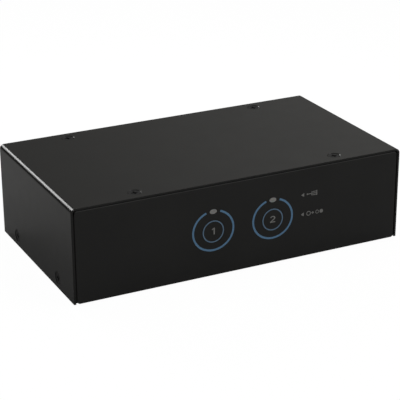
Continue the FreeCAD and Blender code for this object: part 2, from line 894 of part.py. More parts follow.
def make_tact_switches():
    """The fixed pieces of both tact switches: housings, metal covers and terminals."""
    housing = new_body("tact_housings", -d.key_spacing / 2, front_board_y, key_z)
    plan = new_sketch(housing, "XZ_Plane")
    rectangle(plan, as_size(0), as_size(0), d.tact_width, d.tact_width)
    pad(housing, plan, d.tact_housing)
    well = new_sketch(housing, "XZ_Plane", d.tact_housing)
    circle(well, 0, 0, d.tact_cavity)
    pocket(housing, well, d.tact_housing - d.tact_floor)
    repeat(housing, "X", d.key_spacing, 2)

    cover = new_body("tact_covers", -d.key_spacing / 2, front_board_y, key_z)
    plan = new_sketch(cover, "XZ_Plane", d.tact_housing)
    rectangle(plan, as_size(0), as_size(0), d.tact_width, d.tact_width)
    circle(plan, 0, 0, d.tact_plunger + d.key_slack * 2)
    pad(cover, plan, d.tact_cover)
    repeat(cover, "X", d.key_spacing, 2)

    pin_reach = d.tact_width / 2 + d.tact_pin_gap
    pins = new_body("tact_terminals", -d.key_spacing / 2 - pin_reach, front_board_y,
                    key_z - d.tact_pin_span / 2)
    plan = new_sketch(pins, "XZ_Plane")
    rectangle(plan, as_size(0), as_size(0), d.tact_pin_width, d.tact_pin_height)
    pad(pins, plan, d.tact_pin_length)
    repeat(pins, "X", pin_reach * 2, 2, "Z", d.tact_pin_span, 2)
    repeat(pins, "X", d.key_spacing, 2)


def make_lamps():
    """Oval light guides in the film's holes, and the lamps behind them and beside the keys."""
    guides = new_body("lamp_lenses", -d.key_spacing / 2, front, key_z + d.lamp_rise)
    stem = new_sketch(guides, "XZ_Plane")
    oval(stem, as_size(0), as_size(0), d.lamp_length, d.lamp_width)
    pad(guides, stem, d.lamp_guide_length, reverse=True)
    ledge = new_sketch(guides, "XZ_Plane", -(d.film_thickness + d.sheet + d.near_gap))
    oval(ledge, as_size(0), as_size(0), d.lamp_length + d.lamp_ledge * 2,
         d.lamp_width + d.lamp_ledge * 2)
    pad(guides, ledge, d.lamp_ledge, reverse=True)
    repeat(guides, "X", d.key_spacing, 2)

    wide, thick = d.hub_lamp_length, d.hub_lamp_width
    group("hub_lamps", [
        block(d.key_spacing / 2 * side, front_board_y - thick / 2,
              key_z + d.lamp_rise - thick / 2, wide, thick, thick)
        for side in (-1, 1)
    ])
    tall, wide, thick = d.select_lamp_length, d.select_lamp_width, d.select_lamp_rise
    group("select_lamps", [
        block(d.key_spacing / 2 * side + d.select_lamp_reach * end,
              front_board_y - thick / 2, key_z - tall / 2, wide, thick, tall)
        for side in (-1, 1) for end in (-1, 1)
    ])


# ---------------------------------------------------------------- boards, posts and headers

def make_front_board():
    """An upright board behind the front wall that carries the tact switches and lamps."""
    body = new_body("front_board")
    plan = new_sketch(body, "XZ_Plane", -front_board_y)
    low, high = base + d.front_board_low, base + d.front_board_high
    rectangle(plan, as_size(0), (low + high) / 2, d.front_board_width, high - low)
    for side in (-1, 1):
        circle(plan, d.front_post_span / 2 * side, base + d.front_post_height, d.board_hole)
    pad(body, plan, d.board, reverse=True)
    pins = new_sketch(body, "XZ_Plane", -front_board_y)
    for index in range(HEADER_PINS):
        circle(pins, header_x(index), header_z, d.pin_hole)
    pocket(body, pins, d.board * CUT_THROUGH)

    posts = new_body("front_posts", -d.front_post_span / 2, wall_front, base + d.front_post_height)
    shank = new_sketch(posts, "XZ_Plane")
    circle(shank, 0, 0, d.post_flats - d.press_slack)
    pad(posts, shank, d.sheet, reverse=True)
    column = new_sketch(posts, "XZ_Plane", -d.sheet)
    hexagon(column, d.post_flats)
    pad(posts, column, d.front_board_gap, reverse=True)
    thread = new_sketch(posts, "XZ_Plane", -(d.sheet + d.front_board_gap))
    circle(thread, 0, 0, d.thread_width)
    pocket(posts, thread, d.front_board_gap - 1, reverse=True)
    repeat(posts, "X", d.front_post_span, 2)

    screws = new_body("front_board_screws", -d.front_post_span / 2, front_board_y + d.board,
                      base + d.front_post_height)
    turn(screws, "Y", pan_head_corners())
    cross_recess(screws, "XZ_Plane", -d.pan_head_height, reverse=True)
    repeat(screws, "X", d.front_post_span, 2)


def pan_head_corners():
    """Corners of a pan-head screw whose head stands on 0, with its thread towards minus."""
    thread, head, height = d.thread_width - d.thread_slack, d.pan_head_width, d.pan_head_height
    return [(-d.board_screw_length, thread), (0, thread), (0, head),
            (height * PAN_RIM_SHARE, head), (height, head * PAN_TOP_SHARE)]


def header_x(index):
    return as_size((index - (HEADER_PINS - 1) / 2) * PIN_PITCH)


def make_front_header():
    """A right-angled pin header that joins the front board to the main board."""
    pins = new_body("front_header_pins", header_x(0), 0, 0)
    bent = new_sketch(pins, "YZ_Plane")
    half = as_size(PIN_WIDTH / 2)
    tip, elbow = front_board_y - d.header_reach, header_y - half
    foot = main_top - d.board - d.pin_tail
    outline(bent, [
        (tip, header_z - half), (elbow, header_z - half), (elbow, foot),
        (elbow + PIN_WIDTH, foot), (elbow + PIN_WIDTH, header_z + half), (tip, header_z + half),
    ])
    pad(pins, bent, as_size(PIN_WIDTH), symmetric=True)
    repeat(pins, "X", as_size(PIN_PITCH * (HEADER_PINS - 1)), HEADER_PINS)

    strip = block(0, header_y, main_top, PIN_PITCH * HEADER_PINS, d.header_strip_width,
                  d.header_strip_height)
    slots = [
        block(header_x(index), header_y, main_top - 1, d.pin_slot, d.pin_slot,
              d.header_strip_height + 2)
        for index in range(HEADER_PINS)
    ]
    group("front_header_body", [cut(strip, fuse(slots))])


def make_main_board():
    """The lower board: video sockets, power socket, switching chips."""
    depth = wall_rear - d.sheet - d.board_rear_gap - d.main_board_front
    body = new_body("main_board")
    plan = new_sketch(body, "XY_Plane", main_top - d.board)
    rectangle(plan, as_size(0), d.main_board_front + depth / 2, d.main_board_width, depth)
    post_holes(plan, range(3))
    pad(body, plan, d.board)
    pins = new_sketch(body, "XY_Plane", main_top)
    for index in range(HEADER_PINS):
        circle(pins, header_x(index), header_y, d.pin_hole)
    link_pin_holes(pins)
    pocket(body, pins, d.board * CUT_THROUGH)


def make_io_board():
    """The upper board: USB and audio sockets, hub chip."""
    depth = wall_rear - d.sheet - d.board_rear_gap - d.io_board_front
    body = new_body("io_board")
    plan = new_sketch(body, "XY_Plane", io_top - d.board)
    rectangle(plan, as_size(0), d.io_board_front + depth / 2, d.io_board_width, depth)
    post_holes(plan, (1, 2))
    pad(body, plan, d.board)
    pins = new_sketch(body, "XY_Plane", io_top)
    link_pin_holes(pins)
    pocket(body, pins, d.board * CUT_THROUGH)


def post_holes(sketch, rows):
    for side in (-1, 1):
        for row in rows:
            circle(sketch, d.post_span_x / 2 * side, d.post_first_y + d.post_pitch_y * row,
                   d.board_hole)


def link_pin_holes(sketch):
    for index in range(LINK_PINS):
        for row in (-1, 1):
            circle(sketch, link_x(index), link_y + row * PIN_PITCH / 2, d.pin_hole)


def make_posts():
    """Short posts clinched in the floor, and tall posts between the two boards."""
    body = new_body("low_posts", -d.post_span_x / 2, d.post_first_y, base)
    shank = new_sketch(body, "XY_Plane")
    circle(shank, 0, 0, d.post_flats - d.press_slack)
    pad(body, shank, d.sheet)
    column = new_sketch(body, "XY_Plane", d.sheet)
    hexagon(column, d.post_flats)
    pad(body, column, d.low_post)
    thread = new_sketch(body, "XY_Plane", d.sheet + d.low_post)
    circle(thread, 0, 0, d.thread_width)
    pocket(body, thread, d.low_post)
    repeat(body, "X", d.post_span_x, 2, "Y", d.post_pitch_y * 2, 3)

    body = new_body("tall_posts", -d.post_span_x / 2, d.post_first_y + d.post_pitch_y, main_top)
    column = new_sketch(body, "XY_Plane")
    hexagon(column, d.post_flats)
    pad(body, column, d.tall_post)
    tail = new_sketch(body, "XY_Plane")
    circle(tail, 0, 0, d.thread_width - d.thread_slack)
    pad(body, tail, d.board + d.low_post - 1, reverse=True)
    thread = new_sketch(body, "XY_Plane", d.tall_post)
    circle(thread, 0, 0, d.thread_width)
    pocket(body, thread, d.tall_thread_depth)
    repeat(body, "X", d.post_span_x, 2, "Y", d.post_pitch_y, 2)


def make_board_screws():
    """Pan-head screws: two at the main board's front corners, four in the upper board."""
    body = new_body("main_board_screws", -d.post_span_x / 2, d.post_first_y, main_top)
    turn(body, "Z", pan_head_corners())
    cross_recess(body, "XY_Plane", d.pan_head_height)
    repeat(body, "X", d.post_span_x, 2)
    body = new_body("io_board_screws", -d.post_span_x / 2, d.post_first_y + d.post_pitch_y, io_top)
    turn(body, "Z", pan_head_corners())
    cross_recess(body, "XY_Plane", d.pan_head_height)
    repeat(body, "X", d.post_span_x, 2, "Y", d.post_pitch_y, 2)


def link_x(index):
    return as_size((index - (LINK_PINS - 1) / 2) * PIN_PITCH)


def make_board_link():
    """Two rows of straight pins between the boards, in a lower and an upper plastic block."""
    foot = main_top - d.board - d.pin_tail
    pins = new_body("link_pins", link_x(0), link_y - PIN_PITCH / 2, foot)
    plan = new_sketch(pins, "XY_Plane")
    rectangle(plan, as_size(0), as_size(0), as_size(PIN_WIDTH), as_size(PIN_WIDTH))
    pad(pins, plan, d.tall_post + (d.board + d.pin_tail) * 2)
    repeat(pins, "X", as_size(PIN_PITCH * (LINK_PINS - 1)), LINK_PINS, "Y", as_size(PIN_PITCH), 2)

    group("link_blocks", [
        link_block(main_top, d.link_low_height),
        link_block(io_top - d.board - d.link_high_height, d.link_high_height),
    ])


def link_block(low, height):
    """A plastic block round the link's pins, with a square slot for each of them."""
    slots = [
        block(link_x(index), link_y + row * PIN_PITCH / 2, low - 1, d.pin_slot, d.pin_slot,
              height + 2)
        for index in range(LINK_PINS) for row in (-1, 1)
    ]
    return cut(block(0, link_y, low, PIN_PITCH * LINK_PINS, PIN_PITCH * 2, height), fuse(slots))


# ---------------------------------------------------------------- components on the boards

def make_chip(label, x, y, z, width, leads, pitch):
    """A square flat chip with gull-wing leads on all four sides."""
    body = new_body(label, x, y, z)
    plan = new_sketch(body, "XY_Plane", d.chip_lift)
    rectangle(plan, as_size(0), as_size(0), as_size(width), as_size(width))
    package = pad(body, plan, d.chip_height)
    doc.recompute()
    half = width / 2
    corners = edges_at(package, "Z", (-half, -half), (half, -half), (half, half), (-half, half))
    fillet(body, package, corners, d.chip_corner)
    dot = new_sketch(body, "XY_Plane", d.chip_height + d.chip_lift)
    circle(dot, d.chip_dot_inset - half, d.chip_dot_inset - half, d.chip_dot)
    pocket(body, dot, d.chip_lift)

    feet = new_body(label + "_leads", x, y, z)
    first = -(leads - 1) / 2 * pitch
    for plane, axis, start in (("YZ_Plane", "X", first), ("XZ_Plane", "Y", -first)):
        lead_row(feet, plane, axis, start, half, leads, pitch)
    turned = feet.newObject("PartDesign::PolarPattern", "PolarPattern")
    turned.TransformMode = "Whole shape"
    turned.Axis = (origin_item(feet, "Z_Axis"), [""])
    turned.Angle = 360
    turned.Occurrences = 2
    feet.Tip = turned
    doc.recompute()


def lead_row(feet, plane, axis, start, half, leads, pitch):
    """One side's leads: out of the package at half its height, down, and flat on the board."""
    middle = d.chip_lift + d.chip_height / 2
    thick, knee, toe = d.lead_thickness, d.lead_shoulder + half, d.lead_reach + half
    wing = new_sketch(feet, plane, start)
    outline(wing, [
        (half, middle), (knee, middle), (knee + LEAD_LEAN, thick), (toe, thick), (toe, 0),
        (knee + LEAD_LEAN - thick / 2, 0), (knee - thick / 2, middle - thick),
        (half, middle - thick),
    ])
    lead = pad(feet, wing, as_size(pitch * LEAD_SHARE), symmetric=True)
    doc.recompute()
    row = feet.newObject("PartDesign::LinearPattern", "LinearPattern")
    row.Originals = [lead]
    row.Direction = (origin_item(feet, axis + "_Axis"), [""])
    bind(row, "Length", (leads - 1) * pitch)
    row.Occurrences = leads
    feet.Tip = row
    doc.recompute()


def make_small_parts():
    """Crystals, capacitors, coils and the beeper."""
    cans = new_body("crystals", d.crystal_x, d.crystal_first_y, main_top)
    plan = new_sketch(cans, "XY_Plane")
    slot(plan, as_size(0), as_size(0), d.crystal_length, d.crystal_width)
    pad(cans, plan, d.crystal_height)
    repeat(cans, "Y", d.crystal_pitch, 2)

    body = new_body("capacitors", d.capacitor_first_x, d.power_row_first_y, main_top)
    wide, neck, tall = d.capacitor_width, d.capacitor_neck, d.capacitor_height
    groove, reach = d.capacitor_groove, d.capacitor_groove_reach
    turn(body, "Z", [
        (0, wide), (groove - reach, wide), (groove, neck), (groove + reach, wide),
        (tall - d.capacitor_shoulder, wide), (tall, neck),
    ])
    repeat(body, "X", d.capacitor_pitch_x, 2, "Y", d.power_row_pitch, 2)

    body = new_body("coils", d.coil_x, d.power_row_first_y, main_top)
    plan = new_sketch(body, "XY_Plane")
    rectangle(plan, as_size(0), as_size(0), d.coil_width, d.coil_width)
    brick = pad(body, plan, d.coil_height)
    doc.recompute()
    half = d.coil_width / 2
    corners = edges_at(brick, "Z", (-half, -half), (half, -half), (half, half), (-half, half))
    fillet(body, brick, corners, d.coil_corner)
    repeat(body, "Y", d.power_row_pitch, 2)

    body = new_body("beeper", d.beeper_x, d.beeper_y, main_top)
    wide, tall = d.beeper_width, d.beeper_height
    turn(body, "Z", [(0, wide), (tall - d.beeper_bevel, wide), (tall, wide - d.beeper_bevel * 2)])
    mouth = new_sketch(body, "XY_Plane", tall)
    circle(mouth, 0, 0, d.beeper_mouth)
    pocket(body, mouth, d.beeper_well)


# ---------------------------------------------------------------- rear sockets

def make_dvi_shells():
    """The video sockets' metal shells: flange plate, cage and the rim through the rear wall."""
    inner_face = d.sheet + d.socket_gap
    shells = new_body("video_shells", d.port_first_x, wall_rear, dvi_z)
    plate = new_sketch(shells, "XZ_Plane", inner_face)
    rectangle(plate, as_size(0), as_size(0), d.dvi_plate_width, d.dvi_plate_height)
    for side in (-1, 1):
        circle(plate, d.jackscrew_span / 2 * side, 0, d.jackscrew_thread + d.press_slack)
    pad(shells, plate, d.dvi_plate)
    cage = new_sketch(shells, "XZ_Plane", inner_face)
    rectangle(cage, as_size(0), -(d.dvi_rise - d.dvi_plate_height / 2) / 2,
              d.dvi_width + d.dvi_cage_wider, d.dvi_rise + d.dvi_plate_height / 2)
    pad(shells, cage, d.dvi_depth)
    rim = new_sketch(shells, "XZ_Plane", inner_face)
    bevelled(rim, d.dvi_width, d.dvi_height, d.dvi_bevel, -1)
    pad(shells, rim, inner_face + d.socket_proud, reverse=True)
    mouth = new_sketch(shells, "XZ_Plane", -d.socket_proud)
    bevelled(mouth, d.dvi_width - d.dvi_rim * 2, d.dvi_height - d.dvi_rim * 2, d.dvi_bevel, -1)
    pocket(shells, mouth, d.dvi_depth, reverse=True)
    repeat(shells, "X", d.port_pitch * 2, 3)


def make_dvi_insulators():
    """The video sockets' insulators: 24 contact holes in three rows, and one blade slot."""
    cores = new_body("video_insulators", d.port_first_x, wall_rear, dvi_z)
    width, height = d.dvi_width - d.dvi_rim * 2, d.dvi_height - d.dvi_rim * 2
    root = new_sketch(cores, "XZ_Plane", d.dvi_groove_depth)
    bevelled(root, width - REST_GAP, height - REST_GAP, d.dvi_bevel, -1)
    pad(cores, root, d.dvi_depth - d.socket_proud - d.dvi_groove_depth - REST_GAP)
    nose_face = -d.dvi_nose_reach
    nose = new_sketch(cores, "XZ_Plane", nose_face)
    bevelled(nose, width - d.dvi_groove * 2, height - d.dvi_groove * 2, d.dvi_bevel, -1)
    pad(cores, nose, d.dvi_groove_depth + d.dvi_nose_reach)
    pin_hole = new_sketch(cores, "XZ_Plane", nose_face)
    rectangle(pin_hole, d.dvi_pitch * -5, d.dvi_pitch, d.dvi_pin_hole, d.dvi_pin_hole)
    first_hole = pocket(cores, pin_hole, d.dvi_pin_depth, reverse=True)
    grid = cores.newObject("PartDesign::LinearPattern", "LinearPattern")
    grid.Originals = [first_hole]
    grid.Direction = (origin_item(cores, "X_Axis"), [""])
    bind(grid, "Length", d.dvi_pitch * 7)
    grid.Occurrences = 8
    grid.Direction2 = (origin_item(cores, "Z_Axis"), [""])
    grid.Reversed2 = True
    bind(grid, "Length2", d.dvi_pitch * 2)
    grid.Occurrences2 = 3
    cores.Tip = grid
    blade = new_sketch(cores, "XZ_Plane", nose_face)
    rectangle(blade, d.dvi_pitch * 4.3, as_size(0), d.dvi_blade_length, d.dvi_blade_width)
    pocket(cores, blade, d.dvi_pin_depth, reverse=True)
    repeat(cores, "X", d.port_pitch * 2, 3)


def make_jackscrews():
    """Hexagonal jackscrews beside the video sockets, bored for a plug's thumbscrews."""
    screws = new_body("jackscrews", d.port_first_x - d.jackscrew_span / 2, wall_rear, dvi_z)
    nut = new_sketch(screws, "XZ_Plane")
    hexagon(nut, d.jackscrew_flats)
    pad(screws, nut, d.jackscrew_length, reverse=True)
    stud = new_sketch(screws, "XZ_Plane")
    circle(stud, 0, 0, d.jackscrew_thread)
    pad(screws, stud, d.jackscrew_stud)
    bore = new_sketch(screws, "XZ_Plane", -d.jackscrew_length)
    circle(bore, 0, 0, d.jackscrew_thread)
    pocket(screws, bore, d.jackscrew_bore, reverse=True)
    repeat(screws, "X", d.jackscrew_span, 2)
    repeat(screws, "X", d.port_pitch * 2, 3)


def make_usb_a_sockets():
    """Two double USB sockets: shells, tongues on their back blocks, and contacts."""
    shells = new_body("usb_a_shells", d.usb_a_first_x, wall_rear, usb_a_z)
    outer = new_sketch(shells, "XZ_Plane", -d.socket_proud)
    rectangle(outer, as_size(0), as_size(0), d.usb_a_width, d.usb_a_height)
    pad(shells, outer, d.usb_a_depth + d.socket_proud)
    mouths = new_sketch(shells, "XZ_Plane", -d.socket_proud)
    for side in (-1, 1):
        rectangle(mouths, as_size(0), d.usb_a_port_pitch / 2 * side, d.usb_a_mouth_width,
                  d.usb_a_mouth_height)
    pocket(shells, mouths, d.usb_a_depth, reverse=True)
    repeat(shells, "X", d.usb_a_pitch, 2)

    lower_z = usb_a_z - d.usb_a_port_pitch / 2
    tongues = new_body("usb_a_tongues", d.usb_a_first_x, wall_rear, lower_z)
    root = new_sketch(tongues, "XZ_Plane", d.usb_a_root)
    rectangle(root, as_size(0), as_size(0), d.usb_a_mouth_width - d.press_slack,
              d.usb_a_mouth_height - d.press_slack)
    pad(tongues, root, d.usb_a_depth - d.socket_proud - d.usb_a_root - REST_GAP)
    blade = new_sketch(tongues, "XZ_Plane", -d.usb_a_tongue_reach)
    rectangle(blade, as_size(0), d.usb_a_tongue / 2, d.usb_a_tongue_width, d.usb_a_tongue)
    pad(tongues, blade, d.usb_a_root + d.usb_a_tongue_reach)
    repeat(tongues, "X", d.usb_a_pitch, 2, "Z", d.usb_a_port_pitch, 2)

    first_x = d.usb_a_first_x - d.usb_a_contact_span / 2
    contacts = new_body("usb_a_contacts", first_x, wall_rear, lower_z)
    strip = new_sketch(contacts, "XZ_Plane", d.usb_a_contact_start)
    rectangle(strip, as_size(0), -d.contact_thickness / 2, d.usb_a_contact_width,
              d.contact_thickness)
    pad(contacts, strip, d.usb_a_contact_length)
    repeat(contacts, "X", d.usb_a_contact_span, 4, "Z", d.usb_a_port_pitch, 2)
    repeat(contacts, "X", d.usb_a_pitch, 2)


def make_usb_b_sockets():
    """Two square USB sockets: shells, plastic inserts with a centre tongue, and contacts."""
    shells = new_body("usb_b_shells", d.usb_b_first_x, wall_rear, usb_b_z)
    outer = new_sketch(shells, "XZ_Plane", -d.socket_proud)
    rectangle(outer, as_size(0), as_size(0), d.usb_b_width, d.usb_b_height)
    pad(shells, outer, d.usb_b_depth + d.socket_proud)
    width, height = d.usb_b_width - d.usb_b_shell * 2, d.usb_b_height - d.usb_b_shell * 2
    inside = new_sketch(shells, "XZ_Plane", -d.socket_proud)
    rectangle(inside, as_size(0), as_size(0), width, height)
    pocket(shells, inside, d.usb_b_depth, reverse=True)
    repeat(shells, "X", d.port_pitch, 2)

    face = -d.usb_b_sink
    inserts = new_body("usb_b_inserts", d.usb_b_first_x, wall_rear, usb_b_z)
    plug = new_sketch(inserts, "XZ_Plane", face)
    rectangle(plug, as_size(0), as_size(0), width - d.press_slack, height - d.press_slack)
    pad(inserts, plug, d.usb_b_insert_depth)
    mouth = new_sketch(inserts, "XZ_Plane", face)
    bevelled(mouth, d.usb_b_mouth_width, d.usb_b_mouth_height, d.usb_b_bevel, 1)
    pocket(inserts, mouth, d.usb_b_tongue_length, reverse=True)
    tongue = new_sketch(inserts, "XZ_Plane", face + d.usb_b_tongue_sink)
    rectangle(tongue, as_size(0), as_size(0), d.usb_b_tongue_width, d.usb_b_tongue_height)
    pad(inserts, tongue, d.usb_b_tongue_length)
    repeat(inserts, "X", d.port_pitch, 2)

    span_z = d.usb_b_tongue_height + d.contact_thickness
    contacts = new_body("usb_b_contacts", d.usb_b_first_x - d.usb_b_contact_span / 2, wall_rear,
                        usb_b_z - span_z / 2)
    strip = new_sketch(contacts, "XZ_Plane", d.usb_b_contact_start)
    rectangle(strip, as_size(0), as_size(0), d.usb_b_contact_width, d.contact_thickness)
    pad(contacts, strip, d.usb_b_contact_length)
    repeat(contacts, "X", d.usb_b_contact_span, 2, "Z", span_z, 2)
    repeat(contacts, "X", d.port_pitch, 2)


def make_audio_jacks(label, first_x):
    """Three 3.5 mm jacks, each with a round collar through the rear wall."""
    inner_face = d.sheet + d.socket_gap
    body = new_body(label, first_x, wall_rear, jack_z)
    shell = new_sketch(body, "XZ_Plane", inner_face)
    rectangle(shell, as_size(0), as_size(0), d.jack_width, d.jack_rise * 2)
    pad(body, shell, d.jack_depth)
    collar = new_sketch(body, "XZ_Plane", inner_face)
    circle(collar, 0, 0, d.jack_collar)
    pad(body, collar, inner_face + d.jack_proud, reverse=True)
    bore = new_sketch(body, "XZ_Plane", -d.jack_proud)
    circle(bore, 0, 0, d.jack_bore)
    pocket(body, bore, d.jack_depth, reverse=True)
    repeat(body, "X", d.port_pitch * 2, 3)


def make_power_socket():
    """The direct-current inlet: a plastic housing with a round nose and a centre pin."""
    inner_face = d.sheet + d.socket_gap
    body = new_body("power_socket", d.power_x, wall_rear, power_z)
    shell = new_sketch(body, "XZ_Plane", inner_face)
    rectangle(shell, as_size(0), d.power_height / 2 - d.power_rise, d.power_width, d.power_height)
    pad(body, shell, d.power_depth)
    nose = new_sketch(body, "XZ_Plane", inner_face)
    circle(nose, 0, 0, d.power_nose)
    pad(body, nose, inner_face + d.power_proud, reverse=True)
    bore = new_sketch(body, "XZ_Plane", -d.power_proud)
    circle(bore, 0, 0, d.power_mouth)
    pocket(body, bore, d.power_bore_depth, reverse=True)

    pin = new_body("power_pin", d.power_x, wall_rear, power_z)
    turn(pin, "Y", [
        (-d.power_pin_root, d.power_pin), (-d.power_pin_shoulder, d.power_pin),
        (-d.power_pin_shoulder / 2, d.power_pin * PIN_TIP_SHARE),
    ])


# ---------------------------------------------------------------- build and write

HEADER_PINS = 8
LINK_PINS = 10
PIN_PITCH = 2.54
PIN_WIDTH = 0.64
PIN_TIP_SHARE = 0.7
PAN_RIM_SHARE = 0.6
PAN_TOP_SHARE = 0.7
LEAD_SHARE = 0.44
LEAD_LEAN = 0.2
REST_GAP = 0.02
CUT_THROUGH = 1.5

doc = FreeCAD.newDocument("kvm_switch")
subparts = []
d = make_sheet()
doc.recompute()

case_centre = (d.rear_inset - d.jackscrew_length) / 2
base = d.foot_height
top = base + d.case_height
front = -d.case_depth / 2
rear = d.case_depth / 2
wall_front = front + d.film_thickness
wall_rear = rear - d.rear_inset
inner_width = d.case_width - d.sheet * 2
flange_top = top - d.sheet - d.cover_gap
flange_face = d.case_width / 2 - d.sheet - d.cover_gap
key_z = base + d.key_height
front_board_y = wall_front + d.sheet + d.front_board_gap
tact_tip_y = front_board_y - d.tact_height
main_top = base + d.sheet + d.low_post + d.board
io_top = main_top + d.tall_post + d.board
header_y = d.main_board_front + d.header_inset + PIN_WIDTH
header_z = main_top + d.header_rise
link_y = d.io_board_front + d.link_inset
dvi_z = main_top + d.dvi_rise
power_z = main_top + d.power_rise
usb_a_z = io_top + d.usb_a_height / 2
usb_b_z = io_top + d.usb_b_height / 2
jack_z = io_top + d.jack_rise

make_chassis()
make_top_cover()
make_case_screws()
make_rubber_feet()
make_front_film()
for key_number, key_side in ((1, -1), (2, 1)):
    make_key(key_number, key_side)
    make_plunger(key_number, key_side)
    make_snap_dome(key_number, key_side)
make_tact_switches()
make_lamps()
make_front_board()
make_front_header()
make_main_board()
make_io_board()
make_posts()
make_board_screws()
make_board_link()
make_chip("video_switch_chip", 0, 10, main_top, width=14, leads=20, pitch=0.65)
make_chip("control_chip", -12, -20, main_top, width=10, leads=12, pitch=0.65)
make_chip("hub_chip", -40, 10, io_top, width=7, leads=10, pitch=0.5)
make_small_parts()
make_dvi_shells()
make_dvi_insulators()
make_jackscrews()
make_usb_a_sockets()
make_usb_b_sockets()
make_audio_jacks("speaker_jacks", d.speaker_first_x)
make_audio_jacks("microphone_jacks", d.microphone_first_x)
make_power_socket()
doc.recompute()

for item in doc.Objects:
    if "Invalid" in item.State or "Error" in item.State:
        raise RuntimeError("%s failed to build" % item.Name)
for part in subparts:
    if part.Shape.isNull() or not part.Shape.isValid():
        raise RuntimeError("%s has no valid shape" % part.Label)
os.makedirs("parts", exist_ok=True)
for part in subparts:
    part.Shape.exportStep("parts/%s.step" % part.Label)
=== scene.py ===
"""Looks of a two-port KVM switch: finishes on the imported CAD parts, printed ink, floor and light.

Lengths are in metres and angles in degrees, except the camera's focal length, in millimetres."""

import json
import math

import bmesh
import bpy
from mathutils import Matrix, Vector


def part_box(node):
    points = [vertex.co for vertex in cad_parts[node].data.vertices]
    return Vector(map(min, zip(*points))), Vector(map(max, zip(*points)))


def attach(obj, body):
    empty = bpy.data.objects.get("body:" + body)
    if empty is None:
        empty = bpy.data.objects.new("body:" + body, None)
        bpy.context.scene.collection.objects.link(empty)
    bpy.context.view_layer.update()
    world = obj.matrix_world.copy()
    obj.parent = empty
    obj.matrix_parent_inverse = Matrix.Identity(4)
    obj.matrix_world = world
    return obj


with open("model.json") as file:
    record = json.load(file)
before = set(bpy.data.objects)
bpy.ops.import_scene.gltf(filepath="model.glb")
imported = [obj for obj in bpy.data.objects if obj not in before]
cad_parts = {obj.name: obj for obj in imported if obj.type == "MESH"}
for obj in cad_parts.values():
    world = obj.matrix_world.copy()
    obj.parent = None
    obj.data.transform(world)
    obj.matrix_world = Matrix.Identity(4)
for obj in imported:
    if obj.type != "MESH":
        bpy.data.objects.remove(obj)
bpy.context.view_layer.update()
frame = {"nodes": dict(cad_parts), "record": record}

MM = 0.001


# ---------------------------------------------------------------- shader helpers

EVERY_WAY = (1, 1, 1)
NOISE_LOW = 0.3
NOISE_HIGH = 0.7
BEVEL_SAMPLES = 4
MIX_FACTOR, MIX_FIRST, MIX_SECOND = 0, 6, 7
MIX_RESULT = 2


def new_tree(name):
    """A new material's node tree and its Principled shader."""
    material = bpy.data.materials.new(name)
    material.use_nodes = True
    tree = material.node_tree
    return material, tree, tree.nodes["Principled BSDF"]


def plug(tree, node, inputs):
    """Fills a node's inputs by name, with plain values or with other nodes' outputs."""
    for name, value in inputs.items():
        if isinstance(value, bpy.types.NodeSocket):
            tree.links.new(value, node.inputs[name])
        else:
            node.inputs[name].default_value = value


def add(tree, kind, inputs=None, **settings):
    """A new shader node, with its inputs filled and its settings set."""
    node = tree.nodes.new("ShaderNode" + kind)
    for name, value in settings.items():
        setattr(node, name, value)
    plug(tree, node, inputs or {})
    return node


def place(tree):
    """Where a point is, in metres of the part's own frame."""
    return add(tree, "TexCoord").outputs["Object"]


def noise(tree, size, detail=2.0, stretch=EVERY_WAY):
    """Noise whose lumps are about size metres wide."""
    stretched = add(tree, "Mapping", {"Vector": place(tree), "Scale": stretch})
    return add(tree, "TexNoise", {
        "Vector": stretched.outputs["Vector"], "Scale": 1 / size, "Detail": detail,
    }).outputs["Fac"]


def ranged(tree, value, start, end, low=0.0, high=1.0):
    """A number that goes from low to high as value goes from start to end, and no further."""
    return add(tree, "MapRange", {
        "Value": value, "From Min": start, "From Max": end, "To Min": low, "To Max": high,
    }).outputs["Result"]


def between(tree, factor, low, high):
    """A number that goes from low to high over noise's usual range."""
    return ranged(tree, factor, NOISE_LOW, NOISE_HIGH, low, high)


def scaled(colour, factor):
    """A colour made factor times as light, and never lighter than white."""
    return tuple(min(1.0, channel * factor) for channel in colour)


def shade(tree, factor, dark, light):
    """A colour that goes from dark to light over noise's usual range."""
    ramp = add(tree, "ValToRGB", {"Fac": factor})
    ends = ((NOISE_LOW, dark), (NOISE_HIGH, light))
    for stop, (position, colour) in zip(ramp.color_ramp.elements, ends):
        stop.position = position
        stop.color = (*colour, 1)
    return ramp.outputs["Color"]


def tones(tree, factor, colour, dark, light):
    """One colour's tones, from dark times the colour to light times it."""
    return shade(tree, factor, scaled(colour, dark), scaled(colour, light))


def mixed(tree, factor, first, second):
    """A mix of a node's colour and a plain one. A Mix node's inputs share names, so have numbers."""
    mix = add(tree, "Mix", data_type="RGBA")
    tree.links.new(factor, mix.inputs[MIX_FACTOR])
    tree.links.new(first, mix.inputs[MIX_FIRST])
    mix.inputs[MIX_SECOND].default_value = (*second, 1)
    return mix.outputs[MIX_RESULT]


def bump(tree, height, depth, strength, under=None):
    """Surface relief depth metres deep. under is the relief it lies on."""
    inputs = {"Height": height, "Distance": depth, "Strength": strength}
    if under is not None:
        inputs["Normal"] = under
    return add(tree, "Bump", inputs).outputs["Normal"]


def rounded_edges(tree, radius):
    """Normals that round the sharp edges of a part, as its coat does."""
    return add(tree, "Bevel", {"Radius": radius}, samples=BEVEL_SAMPLES).outputs["Normal"]


# ---------------------------------------------------------------- finishes

